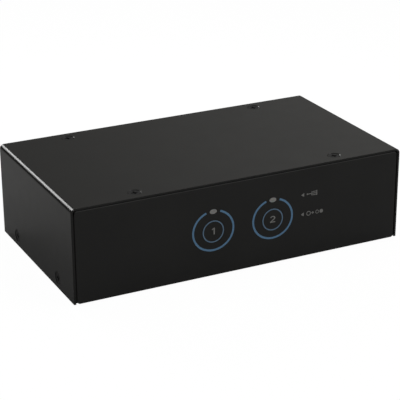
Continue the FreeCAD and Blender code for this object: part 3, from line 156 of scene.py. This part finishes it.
COVER_BLACK = (0.0105, 0.0105, 0.0094)
CHASSIS_BLACK = (0.0085, 0.0085, 0.0080)
FILM_BLACK = (0.0260, 0.0260, 0.0254)
OXIDE_DARK = (0.012, 0.012, 0.013)
OXIDE_LIGHT = (0.05, 0.05, 0.052)
RUBBER_DARK = (0.010, 0.010, 0.010)
RUBBER_LIGHT = (0.026, 0.025, 0.024)
MILK_DARK = (0.45, 0.45, 0.435)
MILK_LIGHT = (0.51, 0.51, 0.49)
NICKEL = (0.60, 0.60, 0.58)
GOLD = (0.83, 0.60, 0.22)
ALUMINIUM = (0.68, 0.68, 0.70)
BLACK_PLASTIC = (0.012, 0.012, 0.012)
WHITE_PLASTIC = (0.66, 0.65, 0.60)
GREEN_PLASTIC = (0.17, 0.42, 0.09)
PINK_PLASTIC = (0.62, 0.16, 0.24)
CHIP_RESIN = (0.014, 0.014, 0.015)
LAMP_RESIN = (0.62, 0.66, 0.72)

PAINT_EDGE = 0.15 * MM
PAINT_PEEL = 0.35 * MM
PAINT_PEEL_DEPTH = 0.006 * MM
PAINT_GRIT = 0.09 * MM
PAINT_GRIT_DEPTH = 0.002 * MM
PAINT_CLOUD = 21 * MM
PAINT_PATCH = 6 * MM
PAINT_UNEVENNESS = 0.02


def powder_coat(name, colour, roughness):
    """Baked powder paint: fine orange-peel relief, with faint clouds in its colour and sheen."""
    material, tree, surface = new_tree(name)
    edge = rounded_edges(tree, PAINT_EDGE)
    peel = bump(tree, noise(tree, PAINT_PEEL, 3.0), PAINT_PEEL_DEPTH, strength=0.8, under=edge)
    grit = bump(tree, noise(tree, PAINT_GRIT, 1.0), PAINT_GRIT_DEPTH, strength=0.6, under=peel)
    clouds = noise(tree, PAINT_CLOUD, 4.0)
    patches = noise(tree, PAINT_PATCH, 5.0)
    plug(tree, surface, {
        "Base Color": tones(tree, clouds, colour, dark=0.9, light=1.12),
        "Roughness": between(
            tree, patches, roughness - PAINT_UNEVENNESS, roughness + PAINT_UNEVENNESS),
        "Specular IOR Level": 0.5,
        "Normal": grit,
    })
    return material


FILM_EDGE = 0.12 * MM
# The painted highlight along the film's top rim: its width, and how many times paler than the film
# it is painted.
FILM_RIM = 0.35 * MM
FILM_RIM_HIGHLIGHT = 3.6
FILM_CLOUD = 30 * MM
FILM_PATCH = 9 * MM
FILM_GRAIN = 0.12 * MM
FILM_GRAIN_DEPTH = 0.0012 * MM


def printed_film(name, colour):
    """Satin plastic film: nearly flat, with a very fine matt grain and a painted highlight along its
    top rim.
    """
    material, tree, surface = new_tree(name)
    film_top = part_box("front_overlay")[1].z
    height = add(tree, "SeparateXYZ", {"Vector": place(tree)}).outputs["Z"]
    # Painted highlight: a strip just under the film's top edge is painted paler, standing in for
    # light from above catching that edge.
    rim = ranged(tree, height, film_top - FILM_RIM, film_top - FILM_RIM / 2)
    body = tones(tree, noise(tree, FILM_CLOUD, 5.0), colour, dark=0.9, light=1.1)
    edge = rounded_edges(tree, FILM_EDGE)
    plug(tree, surface, {
        "Base Color": mixed(tree, rim, body, scaled(colour, FILM_RIM_HIGHLIGHT)),
        "Roughness": between(tree, noise(tree, FILM_PATCH, 4.0), 0.40, 0.45),
        "Specular IOR Level": 0.4,
        "Normal": bump(tree, noise(tree, FILM_GRAIN), FILM_GRAIN_DEPTH, strength=0.7, under=edge),
    })
    return material


MOULD_FLOW = 3 * MM
MOULD_FLOW_STRETCH = (1, 0.35, 1)
MOULD_GRAIN = 0.25 * MM
MOULD_GRAIN_DEPTH = 0.004 * MM
MOULD_PATCH_IN_GRAINS = 5
MOULD_SMOOTHER = 0.05
MOULD_ROUGHER = 0.06
MOULD_GLOW_DEPTH = 0.6 * MM


def moulded(name, colour, roughness=0.42, grain=MOULD_GRAIN, specular=0.5, glow_through=0.0):
    """Injection-moulded plastic: a spark-eroded grain and slight flow marks."""
    material, tree, surface = new_tree(name)
    flow = noise(tree, MOULD_FLOW, 3.0, MOULD_FLOW_STRETCH)
    patches = noise(tree, grain * MOULD_PATCH_IN_GRAINS, 3.0)
    plug(tree, surface, {
        "Base Color": tones(tree, flow, colour, dark=0.88, light=1.1),
        "Roughness": between(tree, patches, roughness - MOULD_SMOOTHER, roughness + MOULD_ROUGHER),
        "Specular IOR Level": specular,
        "Subsurface Weight": glow_through,
        "Subsurface Scale": MOULD_GLOW_DEPTH,
        "Normal": bump(tree, noise(tree, grain), MOULD_GRAIN_DEPTH, strength=0.7),
    })
    return material


METAL_SCRATCH = 0.05 * MM
METAL_SCRATCH_DEPTH = 0.0015 * MM
METAL_TARNISH = 2.2 * MM
METAL_SMOOTHER = 0.05
METAL_ROUGHER = 0.08
ALONG_Y = (1, 0.08, 1)
ALONG_Z = (1, 1, 0.1)


def bare_metal(name, colour, roughness, lie=EVERY_WAY):
    """Plated or rolled metal: fine scratches that lie one way and patches of duller sheen."""
    material, tree, surface = new_tree(name)
    scratches = noise(tree, METAL_SCRATCH, 2.0, lie)
    tarnish = noise(tree, METAL_TARNISH, 4.0)
    plug(tree, surface, {
        "Base Color": tones(tree, tarnish, colour, dark=0.82, light=1),
        "Metallic": 1.0,
        "Roughness": between(tree, tarnish, roughness - METAL_SMOOTHER, roughness + METAL_ROUGHER),
        "Normal": bump(tree, scratches, METAL_SCRATCH_DEPTH, strength=0.6),
    })
    return material


OXIDE_RUB = 0.4 * MM
OXIDE_GRAIN = 0.08 * MM
OXIDE_GRAIN_DEPTH = 0.002 * MM


def blackened_steel(name):
    """Screws with a black oxide finish that is rubbed a little brighter on its high spots."""
    material, tree, surface = new_tree(name)
    rubbed = noise(tree, OXIDE_RUB, 4.0)
    plug(tree, surface, {
        "Base Color": shade(tree, rubbed, OXIDE_DARK, OXIDE_LIGHT),
        "Metallic": 0.55,
        "Roughness": between(tree, rubbed, 0.34, 0.5),
        "Normal": bump(tree, noise(tree, OXIDE_GRAIN), OXIDE_GRAIN_DEPTH, strength=0.7),
    })
    return material


RUBBER_DUST = 0.9 * MM
RUBBER_GRAIN = 0.2 * MM
RUBBER_GRAIN_DEPTH = 0.01 * MM


def rubber(name):
    """Dull rubber with a mottled, slightly dusty skin."""
    material, tree, surface = new_tree(name)
    dust = noise(tree, RUBBER_DUST, 5.0)
    plug(tree, surface, {
        "Base Color": shade(tree, dust, RUBBER_DARK, RUBBER_LIGHT),
        "Roughness": between(tree, dust, 0.7, 0.9),
        "Specular IOR Level": 0.3,
        "Normal": bump(tree, noise(tree, RUBBER_GRAIN, 3.0), RUBBER_GRAIN_DEPTH, strength=0.8),
    })
    return material


MILK_SWIRL = 1.6 * MM
MILK_GLOW_DEPTH = 0.5 * MM
MILK_GRAIN = 0.15 * MM
MILK_GRAIN_DEPTH = 0.002 * MM


def milky_lens(name):
    """A lamp window of milky plastic that scatters light inside."""
    material, tree, surface = new_tree(name)
    swirl = noise(tree, MILK_SWIRL, 3.0)
    plug(tree, surface, {
        "Base Color": shade(tree, swirl, MILK_DARK, MILK_LIGHT),
        "Roughness": between(tree, swirl, 0.34, 0.42),
        "Subsurface Weight": 0.15,
        "Subsurface Scale": MILK_GLOW_DEPTH,
        "Normal": bump(tree, noise(tree, MILK_GRAIN), MILK_GRAIN_DEPTH, strength=0.5),
    })
    return material


MASK_DARK = (0.006, 0.075, 0.028)
MASK_LIGHT = (0.008, 0.09, 0.034)
MASK_OVER_COPPER = (0.02, 0.16, 0.06)
VIA_TIN = (0.62, 0.58, 0.46)
RUN_SPACING = 9 * MM
RUN_WIDTH = 0.035
RUN_SOFTNESS = 0.3
RUN_SHIFT = 0.37
RUN_SQUASH = 0.6
RUN_HEIGHT = 0.02 * MM
VIA_SPACING = 5 * MM
VIA_RADIUS = 0.08
BOARD_PATCH = 4 * MM


def circuit_board(name):
    """Green solder mask over a copper pattern of straight runs, with small tinned vias."""
    material, tree, surface = new_tree(name)
    runs = add(tree, "TexBrick", {
        "Vector": place(tree), "Scale": 1 / RUN_SPACING, "Mortar Size": RUN_WIDTH,
        "Mortar Smooth": RUN_SOFTNESS, "Color1": (*MASK_DARK, 1), "Color2": (*MASK_LIGHT, 1),
        "Mortar": (*MASK_OVER_COPPER, 1),
    }, offset=RUN_SHIFT, squash=RUN_SQUASH)
    cells = add(tree, "TexVoronoi", {"Vector": place(tree), "Scale": 1 / VIA_SPACING})
    via = add(tree, "Math", {
        0: cells.outputs["Distance"], 1: VIA_RADIUS,
    }, operation="LESS_THAN").outputs["Value"]
    plug(tree, surface, {
        "Base Color": mixed(tree, via, runs.outputs["Color"], VIA_TIN),
        "Metallic": via,
        "Roughness": between(tree, noise(tree, BOARD_PATCH, 3.0), 0.28, 0.4),
        "Normal": bump(tree, runs.outputs["Fac"], RUN_HEIGHT, strength=0.5),
    })
    return material


INK_CLOUD = 0.5 * MM
INK_WEAVE = 0.06 * MM
INK_WEAVE_DEPTH = 0.001 * MM


def screen_ink(name, colour):
    """Screen-printed ink: a woven screen's faint texture and a slightly uneven coverage."""
    material, tree, surface = new_tree(name)
    cover = noise(tree, INK_CLOUD, 3.0)
    plug(tree, surface, {
        "Base Color": tones(tree, cover, colour, dark=0.86, light=1.08),
        "Roughness": between(tree, cover, 0.45, 0.55),
        "Specular IOR Level": 0.3,
        "Normal": bump(tree, noise(tree, INK_WEAVE, 1.0), INK_WEAVE_DEPTH, strength=0.6),
    })
    return material


CHIP_GRAIN = 0.12 * MM
LAMP_GRAIN = 0.5 * MM


def make_finishes():
    """One material for each material slot of the record."""
    return {
        "cover_paint": powder_coat("cover_paint_coat", COVER_BLACK, roughness=0.25),
        "chassis_paint": powder_coat("chassis_paint_coat", CHASSIS_BLACK, roughness=0.42),
        "front_film": printed_film("front_film_satin", FILM_BLACK),
        "lamp_window": milky_lens("lamp_window_milk"),
        "black_screw": blackened_steel("black_screw_oxide"),
        "foot_rubber": rubber("foot_rubber_skin"),
        "circuit_board": circuit_board("circuit_board_mask"),
        "plated_steel": bare_metal("plated_steel_nickel", NICKEL, roughness=0.28, lie=ALONG_Y),
        "gold_contact": bare_metal("gold_contact_flash", GOLD, roughness=0.22),
        "can_aluminium": bare_metal("can_aluminium_drawn", ALUMINIUM, roughness=0.3, lie=ALONG_Z),
        "black_plastic": moulded("black_plastic_grain", BLACK_PLASTIC),
        "white_plastic": moulded("white_plastic_grain", WHITE_PLASTIC, glow_through=0.1),
        "green_plastic": moulded("green_plastic_grain", GREEN_PLASTIC),
        "pink_plastic": moulded("pink_plastic_grain", PINK_PLASTIC),
        "chip_resin": moulded(
            "chip_resin_grain", CHIP_RESIN, roughness=0.6, grain=CHIP_GRAIN, specular=0.4),
        "lamp_resin": moulded(
            "lamp_resin_grain", LAMP_RESIN, roughness=0.15, grain=LAMP_GRAIN, glow_through=0.3),
    }


def dress(node, material):
    """Gives a CAD node its finish through its object's slots."""
    for holder in frame["nodes"][node].material_slots:
        holder.material = material


# ---------------------------------------------------------------- ink

RING_BLUE = (0.205, 0.410, 0.670)
RING_PALE_BLUE = (0.215, 0.345, 0.510)
PRINT_GREY = (0.38, 0.38, 0.37)

INK_RISE = 0.03 * MM
INK_SINK = 0.01 * MM
WELD = 0.001 * MM

TURN = 360
TOP = 90
RING_STEPS = 96
SIGN_STEPS = 24


class Face:
    """A flat upright face that takes print. Places on it are x, z; outward is -1 for the front."""

    def __init__(self, y, outward, body):
        self.y = y
        self.outward = outward
        self.body = body

    def point(self, x, z):
        """A place just under the face, where the ink starts."""
        return Vector((x, self.y - self.outward * INK_SINK, z))


def printed(name, face, polygons, material):
    """A thin closed layer of ink. A polygon is a list of x, z corners; neighbours share edges."""
    shape = bmesh.new()
    for corners in polygons:
        shape.faces.new([shape.verts.new(face.point(x, z)) for x, z in corners])
    bmesh.ops.remove_doubles(shape, verts=shape.verts[:], dist=WELD)
    grown = bmesh.ops.extrude_face_region(shape, geom=shape.faces[:])
    raised = [item for item in grown["geom"] if isinstance(item, bmesh.types.BMVert)]
    bmesh.ops.translate(shape, verts=raised, vec=(0, face.outward * (INK_RISE + INK_SINK), 0))
    bmesh.ops.recalc_face_normals(shape, faces=shape.faces[:])
    mesh = bpy.data.meshes.new(name)
    shape.to_mesh(mesh)
    shape.free()
    mesh.materials.append(material)
    piece = bpy.data.objects.new(name, mesh)
    bpy.context.scene.collection.objects.link(piece)
    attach(piece, face.body)


def stroke(points, width, closed=False):
    """Quads along a line of x, z points, mitred at its corners and square at its ends."""
    path = [Vector(point) for point in points]
    count = len(path)
    sides = []
    for index, here in enumerate(path):
        ways = []
        if closed or index > 0:
            ways.append((here - path[index - 1]).normalized())
        if closed or index < count - 1:
            ways.append((path[(index + 1) % count] - here).normalized())
        along = sum(ways, Vector((0, 0))).normalized()
        across = Vector((-along.y, along.x))
        mitre = across.dot(Vector((-ways[0].y, ways[0].x)))
        reach = across * width / 2 / mitre
        sides.append((here + reach, here - reach))
    quads = []
    for index in range(count if closed else count - 1):
        left, right = sides[index]
        next_left, next_right = sides[(index + 1) % count]
        quads.append([left, right, next_right, next_left])
    return quads


def arc(x, z, radius, start, end, steps, squash=1.0):
    """Points on an arc, with angles in degrees anticlockwise from +x. squash flattens it in z."""
    turns = [math.radians(start + (end - start) * step / steps) for step in range(steps + 1)]
    return [(x + radius * math.cos(turn), z + radius * squash * math.sin(turn)) for turn in turns]


def ring(x, z, outer_width, line, steps):
    """A closed ring, outer_width across."""
    radius = (outer_width - line) / 2
    return stroke(arc(x, z, radius, 0, TURN, steps)[:-1], line, closed=True)


def open_ring(x, z, outer_width, line, gap, squash):
    """A slightly flattened ring, open at its top for gap degrees to either side."""
    radius = (outer_width - line) / 2
    return stroke(arc(x, z, radius, TOP + gap, TOP + TURN - gap, RING_STEPS, squash), line)


def disc(x, z, width):
    """A filled circle, as a single polygon."""
    return [arc(x, z, width / 2, 0, TURN, SIGN_STEPS)[:-1]]


def bar(left, right, z, height):
    """A rectangle from left to right, centred on z."""
    low, high = z - height / 2, z + height / 2
    return [(left, low), (right, low), (right, high), (left, high)]


def wedge(x, z, width, height, points_to=-1):
    """A solid triangle whose tip is at the -x end, or the +x end if points_to is 1."""
    tip = (x + width / 2 * points_to, z)
    back = x - width / 2 * points_to
    return [(back, z - height / 2), tip, (back, z + height / 2)]


# Shares of the numeral 1's height.
ONE_STEM_X = 0.1
ONE_FLAG_X = 0.17
ONE_FLAG_DROP = 0.16
# Shares of its line.
ONE_FLAG_TOP = 0.35
ONE_FLAG_TIP = 1.1
ONE_FLAG_ROOT = 1.3


def numeral_one(height, line):
    """A stem with a slanted flag."""
    right = height * ONE_STEM_X + line / 2
    left = right - line
    top, low = height / 2, -height / 2
    flag_x = -height * ONE_FLAG_X
    flag_z = top - height * ONE_FLAG_DROP
    return [[(right, low), (right, top), (left + line * ONE_FLAG_TOP, top), (flag_x, flag_z),
             (flag_x, flag_z - line * ONE_FLAG_TIP), (left, top - line * ONE_FLAG_ROOT),
             (left, low)]]


# Shares of the numeral 2's height and line, and its bowl's sweep in degrees.
TWO_BOWL = 0.25
TWO_BOWL_TRIM = 0.05
TWO_SLANT_CUT = 0.68
TWO_BOWL_START = 165
TWO_BOWL_END = -40
TWO_BOWL_STEPS = 20


def numeral_two(height, line):
    """A round bowl that runs into a straight slant, on a flat foot."""
    radius = height * TWO_BOWL - line * TWO_BOWL_TRIM
    bowl_z = height / 2 - line / 2 - radius
    foot_low = -height / 2
    foot_top = foot_low + line
    cut = line * TWO_SLANT_CUT
    left, right = -radius - line / 2, radius + line / 2
    slant_x = left + cut
    bowl = arc(0, bowl_z, radius, TWO_BOWL_START, TWO_BOWL_END, TWO_BOWL_STEPS)
    quads = stroke(bowl + [(slant_x, foot_top)], line)
    near, far = quads[-1][:2]
    quads[-1] = [near, far, (left, foot_top), (slant_x + cut, foot_top)]
    foot = [(left, foot_low), (right, foot_low), (right, foot_top),
            (slant_x + cut, foot_top), (left, foot_top)]
    return quads + [foot]


NUMERALS = {1: numeral_one, 2: numeral_two}


def set_down(polygons, x, z, stretch=1):
    """Moves polygons to x, z, stretched along x; below 0, stretch also turns them to face +y."""
    return [[(x + across * stretch, z + up) for across, up in corners] for corners in polygons]


# ---------------------------------------------------------------- front print

KEY_RING = 10.55 * MM
KEY_RING_LINE = 0.55 * MM
LAMP_RING = 20.9 * MM
LAMP_RING_LINE = 0.92 * MM
LAMP_RING_SQUASH = 0.943
LAMP_RING_RISE = 0.45 * MM
LAMP_RING_GAP = 20
NUMERAL_HEIGHT = 3.2 * MM
NUMERAL_LINE = 0.48 * MM
NUMERAL_STRETCH = 1.3
NUMERAL_RISE = 0.15 * MM

LEGEND_X = 30.4 * MM
LEGEND_DROP = 0.5 * MM
LEGEND_HEIGHT = 2.3 * MM
LEGEND_LINE = 0.34 * MM
LEGEND_SPACE = 1.4 * MM
POINTER_WIDTH = 1.5 * MM
POINTER_HEIGHT = 1.9 * MM
BRANCH_WIDTH = 5.5 * MM
BRANCH_FORK = BRANCH_WIDTH * 0.45
BRANCH_PORT = LEGEND_LINE * 2
BRANCH_GAP = LEGEND_LINE * 0.4
PRESS_WIDTH = 8.8 * MM
PRESS_KEY_STEPS = 32
PRESS_SHAFT_GAP = LEGEND_LINE * 0.3
PRESS_TIP_WIDTH = LEGEND_HEIGHT * 0.45
PRESS_TIP_HEIGHT = LEGEND_HEIGHT * 0.6
PRESS_LAMP = LEGEND_HEIGHT * 0.8
PRESS_LAMP_LINE = LEGEND_LINE * 0.8


def centre_of(node):
    """The middle of a CAD node's box."""
    low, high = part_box(node)
    return (low + high) / 2


def print_front(blue, pale_blue, grey):
    """Rings round the keys, their numerals, and the legends beside them."""
    film = Face(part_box("front_overlay")[0].y, -1, "case")
    for number, numeral in NUMERALS.items():
        cap_node = "key_cap_%d" % number
        key = centre_of(cap_node)
        cap = Face(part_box(cap_node)[0].y, -1, "key_%d" % number)
        outer = open_ring(key.x, key.z + LAMP_RING_RISE, LAMP_RING, LAMP_RING_LINE,
                          LAMP_RING_GAP, LAMP_RING_SQUASH)
        inner = ring(key.x, key.z, KEY_RING, KEY_RING_LINE, RING_STEPS)
        digit = set_down(numeral(NUMERAL_HEIGHT, NUMERAL_LINE), key.x, key.z + NUMERAL_RISE,
                         NUMERAL_STRETCH)
        printed("outer_ring_%d" % number, film, outer, blue)
        printed("inner_ring_%d" % number, cap, inner, pale_blue)
        printed("numeral_%d" % number, cap, digit, grey)
    left = LEGEND_X + POINTER_WIDTH / 2 + LEGEND_SPACE
    branch_z = centre_of("lamp_lenses").z - LEGEND_DROP
    press_z = centre_of("key_cap_1").z - LEGEND_DROP
    for name, z in (("branch", branch_z), ("press", press_z)):
        pointer = wedge(LEGEND_X, z, POINTER_WIDTH, POINTER_HEIGHT)
        printed("pointer_" + name, film, [pointer], grey)
    print_branch_sign(film, left, branch_z, grey)
    print_press_sign(film, left, press_z, grey)


def print_branch_sign(film, left, z, grey):
    """One port that splits into three, drawn like a stencil with small breaks."""
    port, gap = BRANCH_PORT, BRANCH_GAP
    step = (LEGEND_HEIGHT - port) / 2
    right = left + BRANCH_WIDTH
    fork_x = left + BRANCH_FORK
    shapes = [bar(left, left + port, z, port), bar(left + port + gap, fork_x - gap, z, LEGEND_LINE)]
    shapes.append(bar(fork_x, fork_x + LEGEND_LINE, z, LEGEND_HEIGHT - port + LEGEND_LINE))
    for side in (-1, 0, 1):
        arm_z = z + step * side
        shapes.append(bar(fork_x + LEGEND_LINE + gap, right - port - gap, arm_z, LEGEND_LINE))
        shapes.append(bar(right - port, right, arm_z, port))
    printed("branch_sign", film, shapes, grey)


def print_press_sign(film, left, z, grey):
    """A round key, an arrow, then an open lamp and a lit one."""
    gap, lamp = LEGEND_LINE, PRESS_LAMP
    right = left + PRESS_WIDTH
    arrow_end = right - lamp * 2 - gap * 3
    key = ring(left + LEGEND_HEIGHT / 2, z, LEGEND_HEIGHT, LEGEND_LINE, PRESS_KEY_STEPS)
    shaft = bar(left + LEGEND_HEIGHT + gap, arrow_end - PRESS_TIP_WIDTH - PRESS_SHAFT_GAP, z,
                LEGEND_LINE)
    tip = wedge(arrow_end - PRESS_TIP_WIDTH / 2, z, PRESS_TIP_WIDTH, PRESS_TIP_HEIGHT, points_to=1)
    dark_lamp = ring(right - lamp * 3 / 2 - gap, z, lamp, PRESS_LAMP_LINE, SIGN_STEPS)
    printed("press_sign_key", film, key, grey)
    printed("press_sign_arrow", film, [shaft, tip], grey)
    printed("press_sign_dark_lamp", film, dark_lamp, grey)
    printed("press_sign_lit_lamp", film, disc(right - lamp / 2, z, lamp), grey)


# ---------------------------------------------------------------- rear print

REAR_LINE = 0.35 * MM
REAR_NUMERAL_HEIGHT = 3.2 * MM
REAR_NUMERAL_LINE = 0.5 * MM
REAR_MARGIN = 5 * MM
REAR_TICK = 1.2 * MM
REAR_BRACKET_DROP = 5.6 * MM
REAR_SIGN_DROP = 3.2 * MM
SCREEN_WIDTH = 3.8 * MM
SCREEN_HEIGHT = 2.3 * MM
SCREEN_STAND_DROP = REAR_LINE * 1.7


def mount_x(name):
    """Where one of the record's mounts is, across the part."""
    return next(mount["pos_m"][0] for mount in frame["record"]["mounts"] if mount["name"] == name)


def print_rear(grey):
    """Over each group of sockets a bracket, with its key's numeral or, for the desk, a screen."""
    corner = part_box("chassis")[1]
    wall = Face(corner.y, 1, "case")
    bracket_z = corner.z - REAR_BRACKET_DROP
    sign_z = corner.z - REAR_SIGN_DROP
    groups = (
        ("console", "console_video_screws", "console_microphone_bore"),
        ("computer_1", "computer_1_usb_b_socket", "computer_1_microphone_bore"),
        ("computer_2", "computer_2_usb_b_socket", "computer_2_microphone_bore"),
    )
    for number, (group, first, last) in enumerate(groups):
        left = mount_x(first) - REAR_MARGIN
        right = mount_x(last) + REAR_MARGIN
        corners = [(left, bracket_z - REAR_TICK), (left, bracket_z),
                   (right, bracket_z), (right, bracket_z - REAR_TICK)]
        printed("bracket_" + group, wall, stroke(corners, REAR_LINE), grey)
        middle_x = (left + right) / 2
        if number:
            digit = NUMERALS[number](REAR_NUMERAL_HEIGHT, REAR_NUMERAL_LINE)
            printed("sign_" + group, wall, set_down(digit, middle_x, sign_z, -1), grey)
        else:
            print_screen_sign(wall, middle_x, sign_z, grey)


def print_screen_sign(wall, x, z, grey):
    """A screen on its stand."""
    half_width, half_height = SCREEN_WIDTH / 2, SCREEN_HEIGHT / 2
    screen_z = z + REAR_LINE
    left, right = x - half_width, x + half_width
    low, high = screen_z - half_height, screen_z + half_height
    rim = [(left, low), (right, low), (right, high), (left, high)]
    printed("sign_console_screen", wall, stroke(rim, REAR_LINE, closed=True), grey)
    stand_z = low - SCREEN_STAND_DROP
    stand = bar(x - half_width / 2, x + half_width / 2, stand_z, REAR_LINE)
    printed("sign_console_stand", wall, [stand], grey)


# ---------------------------------------------------------------- light, floor and camera

WHITE = (1, 1, 1, 1)
ROOM_TINT = (1.0, 0.99, 0.96)
ROOM_LEVELS = ((0.0, 0.03), (0.10, 0.10), (0.30, 0.26), (1.0, 0.38))
ROOM_SIDES = (0.28, 0.52)
ROOM_SIDE_LEVELS = (0.55, 1.2)
FLOOR_HALF = 3.0
FLOOR_COLOUR = (0.53, 0.53, 0.53)
# Painted shade on the floor far from the part.
FLOOR_FAR_PAINTED_SHADE = (0.08, 0.08, 0.08)
FLOOR_FIBRE = 2 * MM
FLOOR_FIBRE_PALE = 1.03
FLOOR_NEAR = 0.25
FLOOR_FAR = 0.60
FLOOR_SHADOW = 0.10
FLOOR_GLOW = 1.085

FOCAL_LENGTH = 130.4
CAMERA_PLACE = Vector((-280.4, -570.9, 277.5)) * MM
CAMERA_NEAR = 0.05
CAMERA_FAR = 20
HEADING = 26.21
PITCH = 22.15
ROLL = -0.33


def make_world():
    """White to the camera; to the part, a soft room, dark along the horizon and to the left."""
    world = bpy.data.worlds.new("studio")
    bpy.context.scene.world = world
    world.use_nodes = True
    tree = world.node_tree
    tree.nodes.clear()
    axes = add(tree, "SeparateXYZ", {"Vector": add(tree, "TexCoord").outputs["Generated"]})
    ramp = add(tree, "ValToRGB", {"Fac": axes.outputs["Z"]})
    stops = ramp.color_ramp.elements
    for height, _ in ROOM_LEVELS[1:-1]:
        stops.new(height)
    for stop, (_, level) in zip(stops, ROOM_LEVELS):
        stop.color = (*scaled(ROOM_TINT, level), 1)
    side = ranged(tree, axes.outputs["X"], *ROOM_SIDES, *ROOM_SIDE_LEVELS)
    room = add(tree, "Background", {"Color": ramp.outputs["Color"], "Strength": side})
    paper = add(tree, "Background", {"Color": WHITE, "Strength": 1.0})
    seen = add(tree, "LightPath").outputs["Is Camera Ray"]
    both = add(tree, "MixShader", {0: seen, 1: room.outputs[0], 2: paper.outputs[0]})
    add(tree, "OutputWorld", {"Surface": both.outputs[0]})


def softbox(name, direction, distance, width, height, radiance):
    """A soft rectangular light that faces the part's middle and that the camera doesn't see."""
    lamp = bpy.data.lights.new(name, "AREA")
    lamp.shape = "RECTANGLE"
    lamp.size = width
    lamp.size_y = height
    lamp.energy = radiance * math.pi * width * height
    holder = bpy.data.objects.new(name, lamp)
    bpy.context.scene.collection.objects.link(holder)
    way = Vector(direction).normalized()
    holder.rotation_mode = "QUATERNION"
    holder.rotation_quaternion = way.to_track_quat("Z", "Y")
    holder.location = centre_of("top_cover") + way * distance
    holder.visible_camera = False


def make_floor():
    """A plain pale sheet, nearly white to the camera, whose far part has painted shade: a dark
    colour for light falling off away from the part.
    """
    mesh = bpy.data.meshes.new("floor")
    corners = ((-1, -1, 0), (1, -1, 0), (1, 1, 0), (-1, 1, 0))
    mesh.from_pydata([Vector(corner) * FLOOR_HALF for corner in corners], [], [(0, 1, 2, 3)])
    floor = bpy.data.objects.new("floor", mesh)
    bpy.context.scene.collection.objects.link(floor)
    material, tree, surface = new_tree("floor_paper")
    fibres = tones(tree, noise(tree, FLOOR_FIBRE, 4.0), FLOOR_COLOUR, 1, FLOOR_FIBRE_PALE)
    # Painted shade: the floor's colour darkens with distance from the middle, between FLOOR_NEAR and
    # FLOOR_FAR metres.
    reach = add(tree, "VectorMath", {0: place(tree)}, operation="LENGTH").outputs["Value"]
    far = ranged(tree, reach, FLOOR_NEAR, FLOOR_FAR)
    plug(tree, surface, {
        "Base Color": mixed(tree, far, fibres, FLOOR_FAR_PAINTED_SHADE),
        "Roughness": 0.9,
        "Specular IOR Level": 0.1,
    })
    glow = add(tree, "Emission", {"Color": WHITE, "Strength": FLOOR_GLOW})
    lit = add(tree, "MixShader", {0: FLOOR_SHADOW, 1: glow.outputs[0], 2: surface.outputs[0]})
    seen = add(tree, "LightPath").outputs["Is Camera Ray"]
    both = add(tree, "MixShader", {0: seen, 1: surface.outputs[0], 2: lit.outputs[0]})
    tree.links.new(both.outputs[0], tree.nodes["Material Output"].inputs["Surface"])
    mesh.materials.append(material)


def make_camera():
    """Looks down across the front left corner, from about a forearm's length above the desk."""
    data = bpy.data.cameras.new("camera")
    data.lens = FOCAL_LENGTH
    data.clip_start = CAMERA_NEAR
    data.clip_end = CAMERA_FAR
    camera = bpy.data.objects.new("camera", data)
    bpy.context.scene.collection.objects.link(camera)
    heading, pitch, roll = (math.radians(angle) for angle in (HEADING, PITCH, ROLL))
    turn = Matrix.Rotation(-heading, 4, "Z") @ Matrix.Rotation(math.pi / 2 - pitch, 4, "X")
    case = centre_of("top_cover")
    spot = Vector((case.x, case.y, 0)) + CAMERA_PLACE
    camera.matrix_world = Matrix.Translation(spot) @ turn @ Matrix.Rotation(roll, 4, "Z")
    bpy.context.scene.camera = camera


# ---------------------------------------------------------------- the scene

finishes = make_finishes()
for part in frame["record"]["subparts"]:
    dress(part["node"], finishes[part["material_slot"]])

blue_ink = screen_ink("blue_ink", RING_BLUE)
pale_blue_ink = screen_ink("pale_blue_ink", RING_PALE_BLUE)
grey_ink = screen_ink("grey_ink", PRINT_GREY)
print_front(blue_ink, pale_blue_ink, grey_ink)
print_rear(grey_ink)

make_world()
make_floor()
softbox("back_left", direction=(-0.25, 0.833, 0.46), distance=1.4,
        width=0.60, height=0.34, radiance=7.0)
softbox("overhead", direction=(0.45, 0.2, 1.0), distance=1.1,
        width=0.8, height=0.7, radiance=0.75)
softbox("front_right", direction=(0.55, -0.70, 0.85), distance=1.6,
        width=0.8, height=0.6, radiance=2.35)
make_camera()
bpy.context.scene.view_settings.view_transform = "Standard"
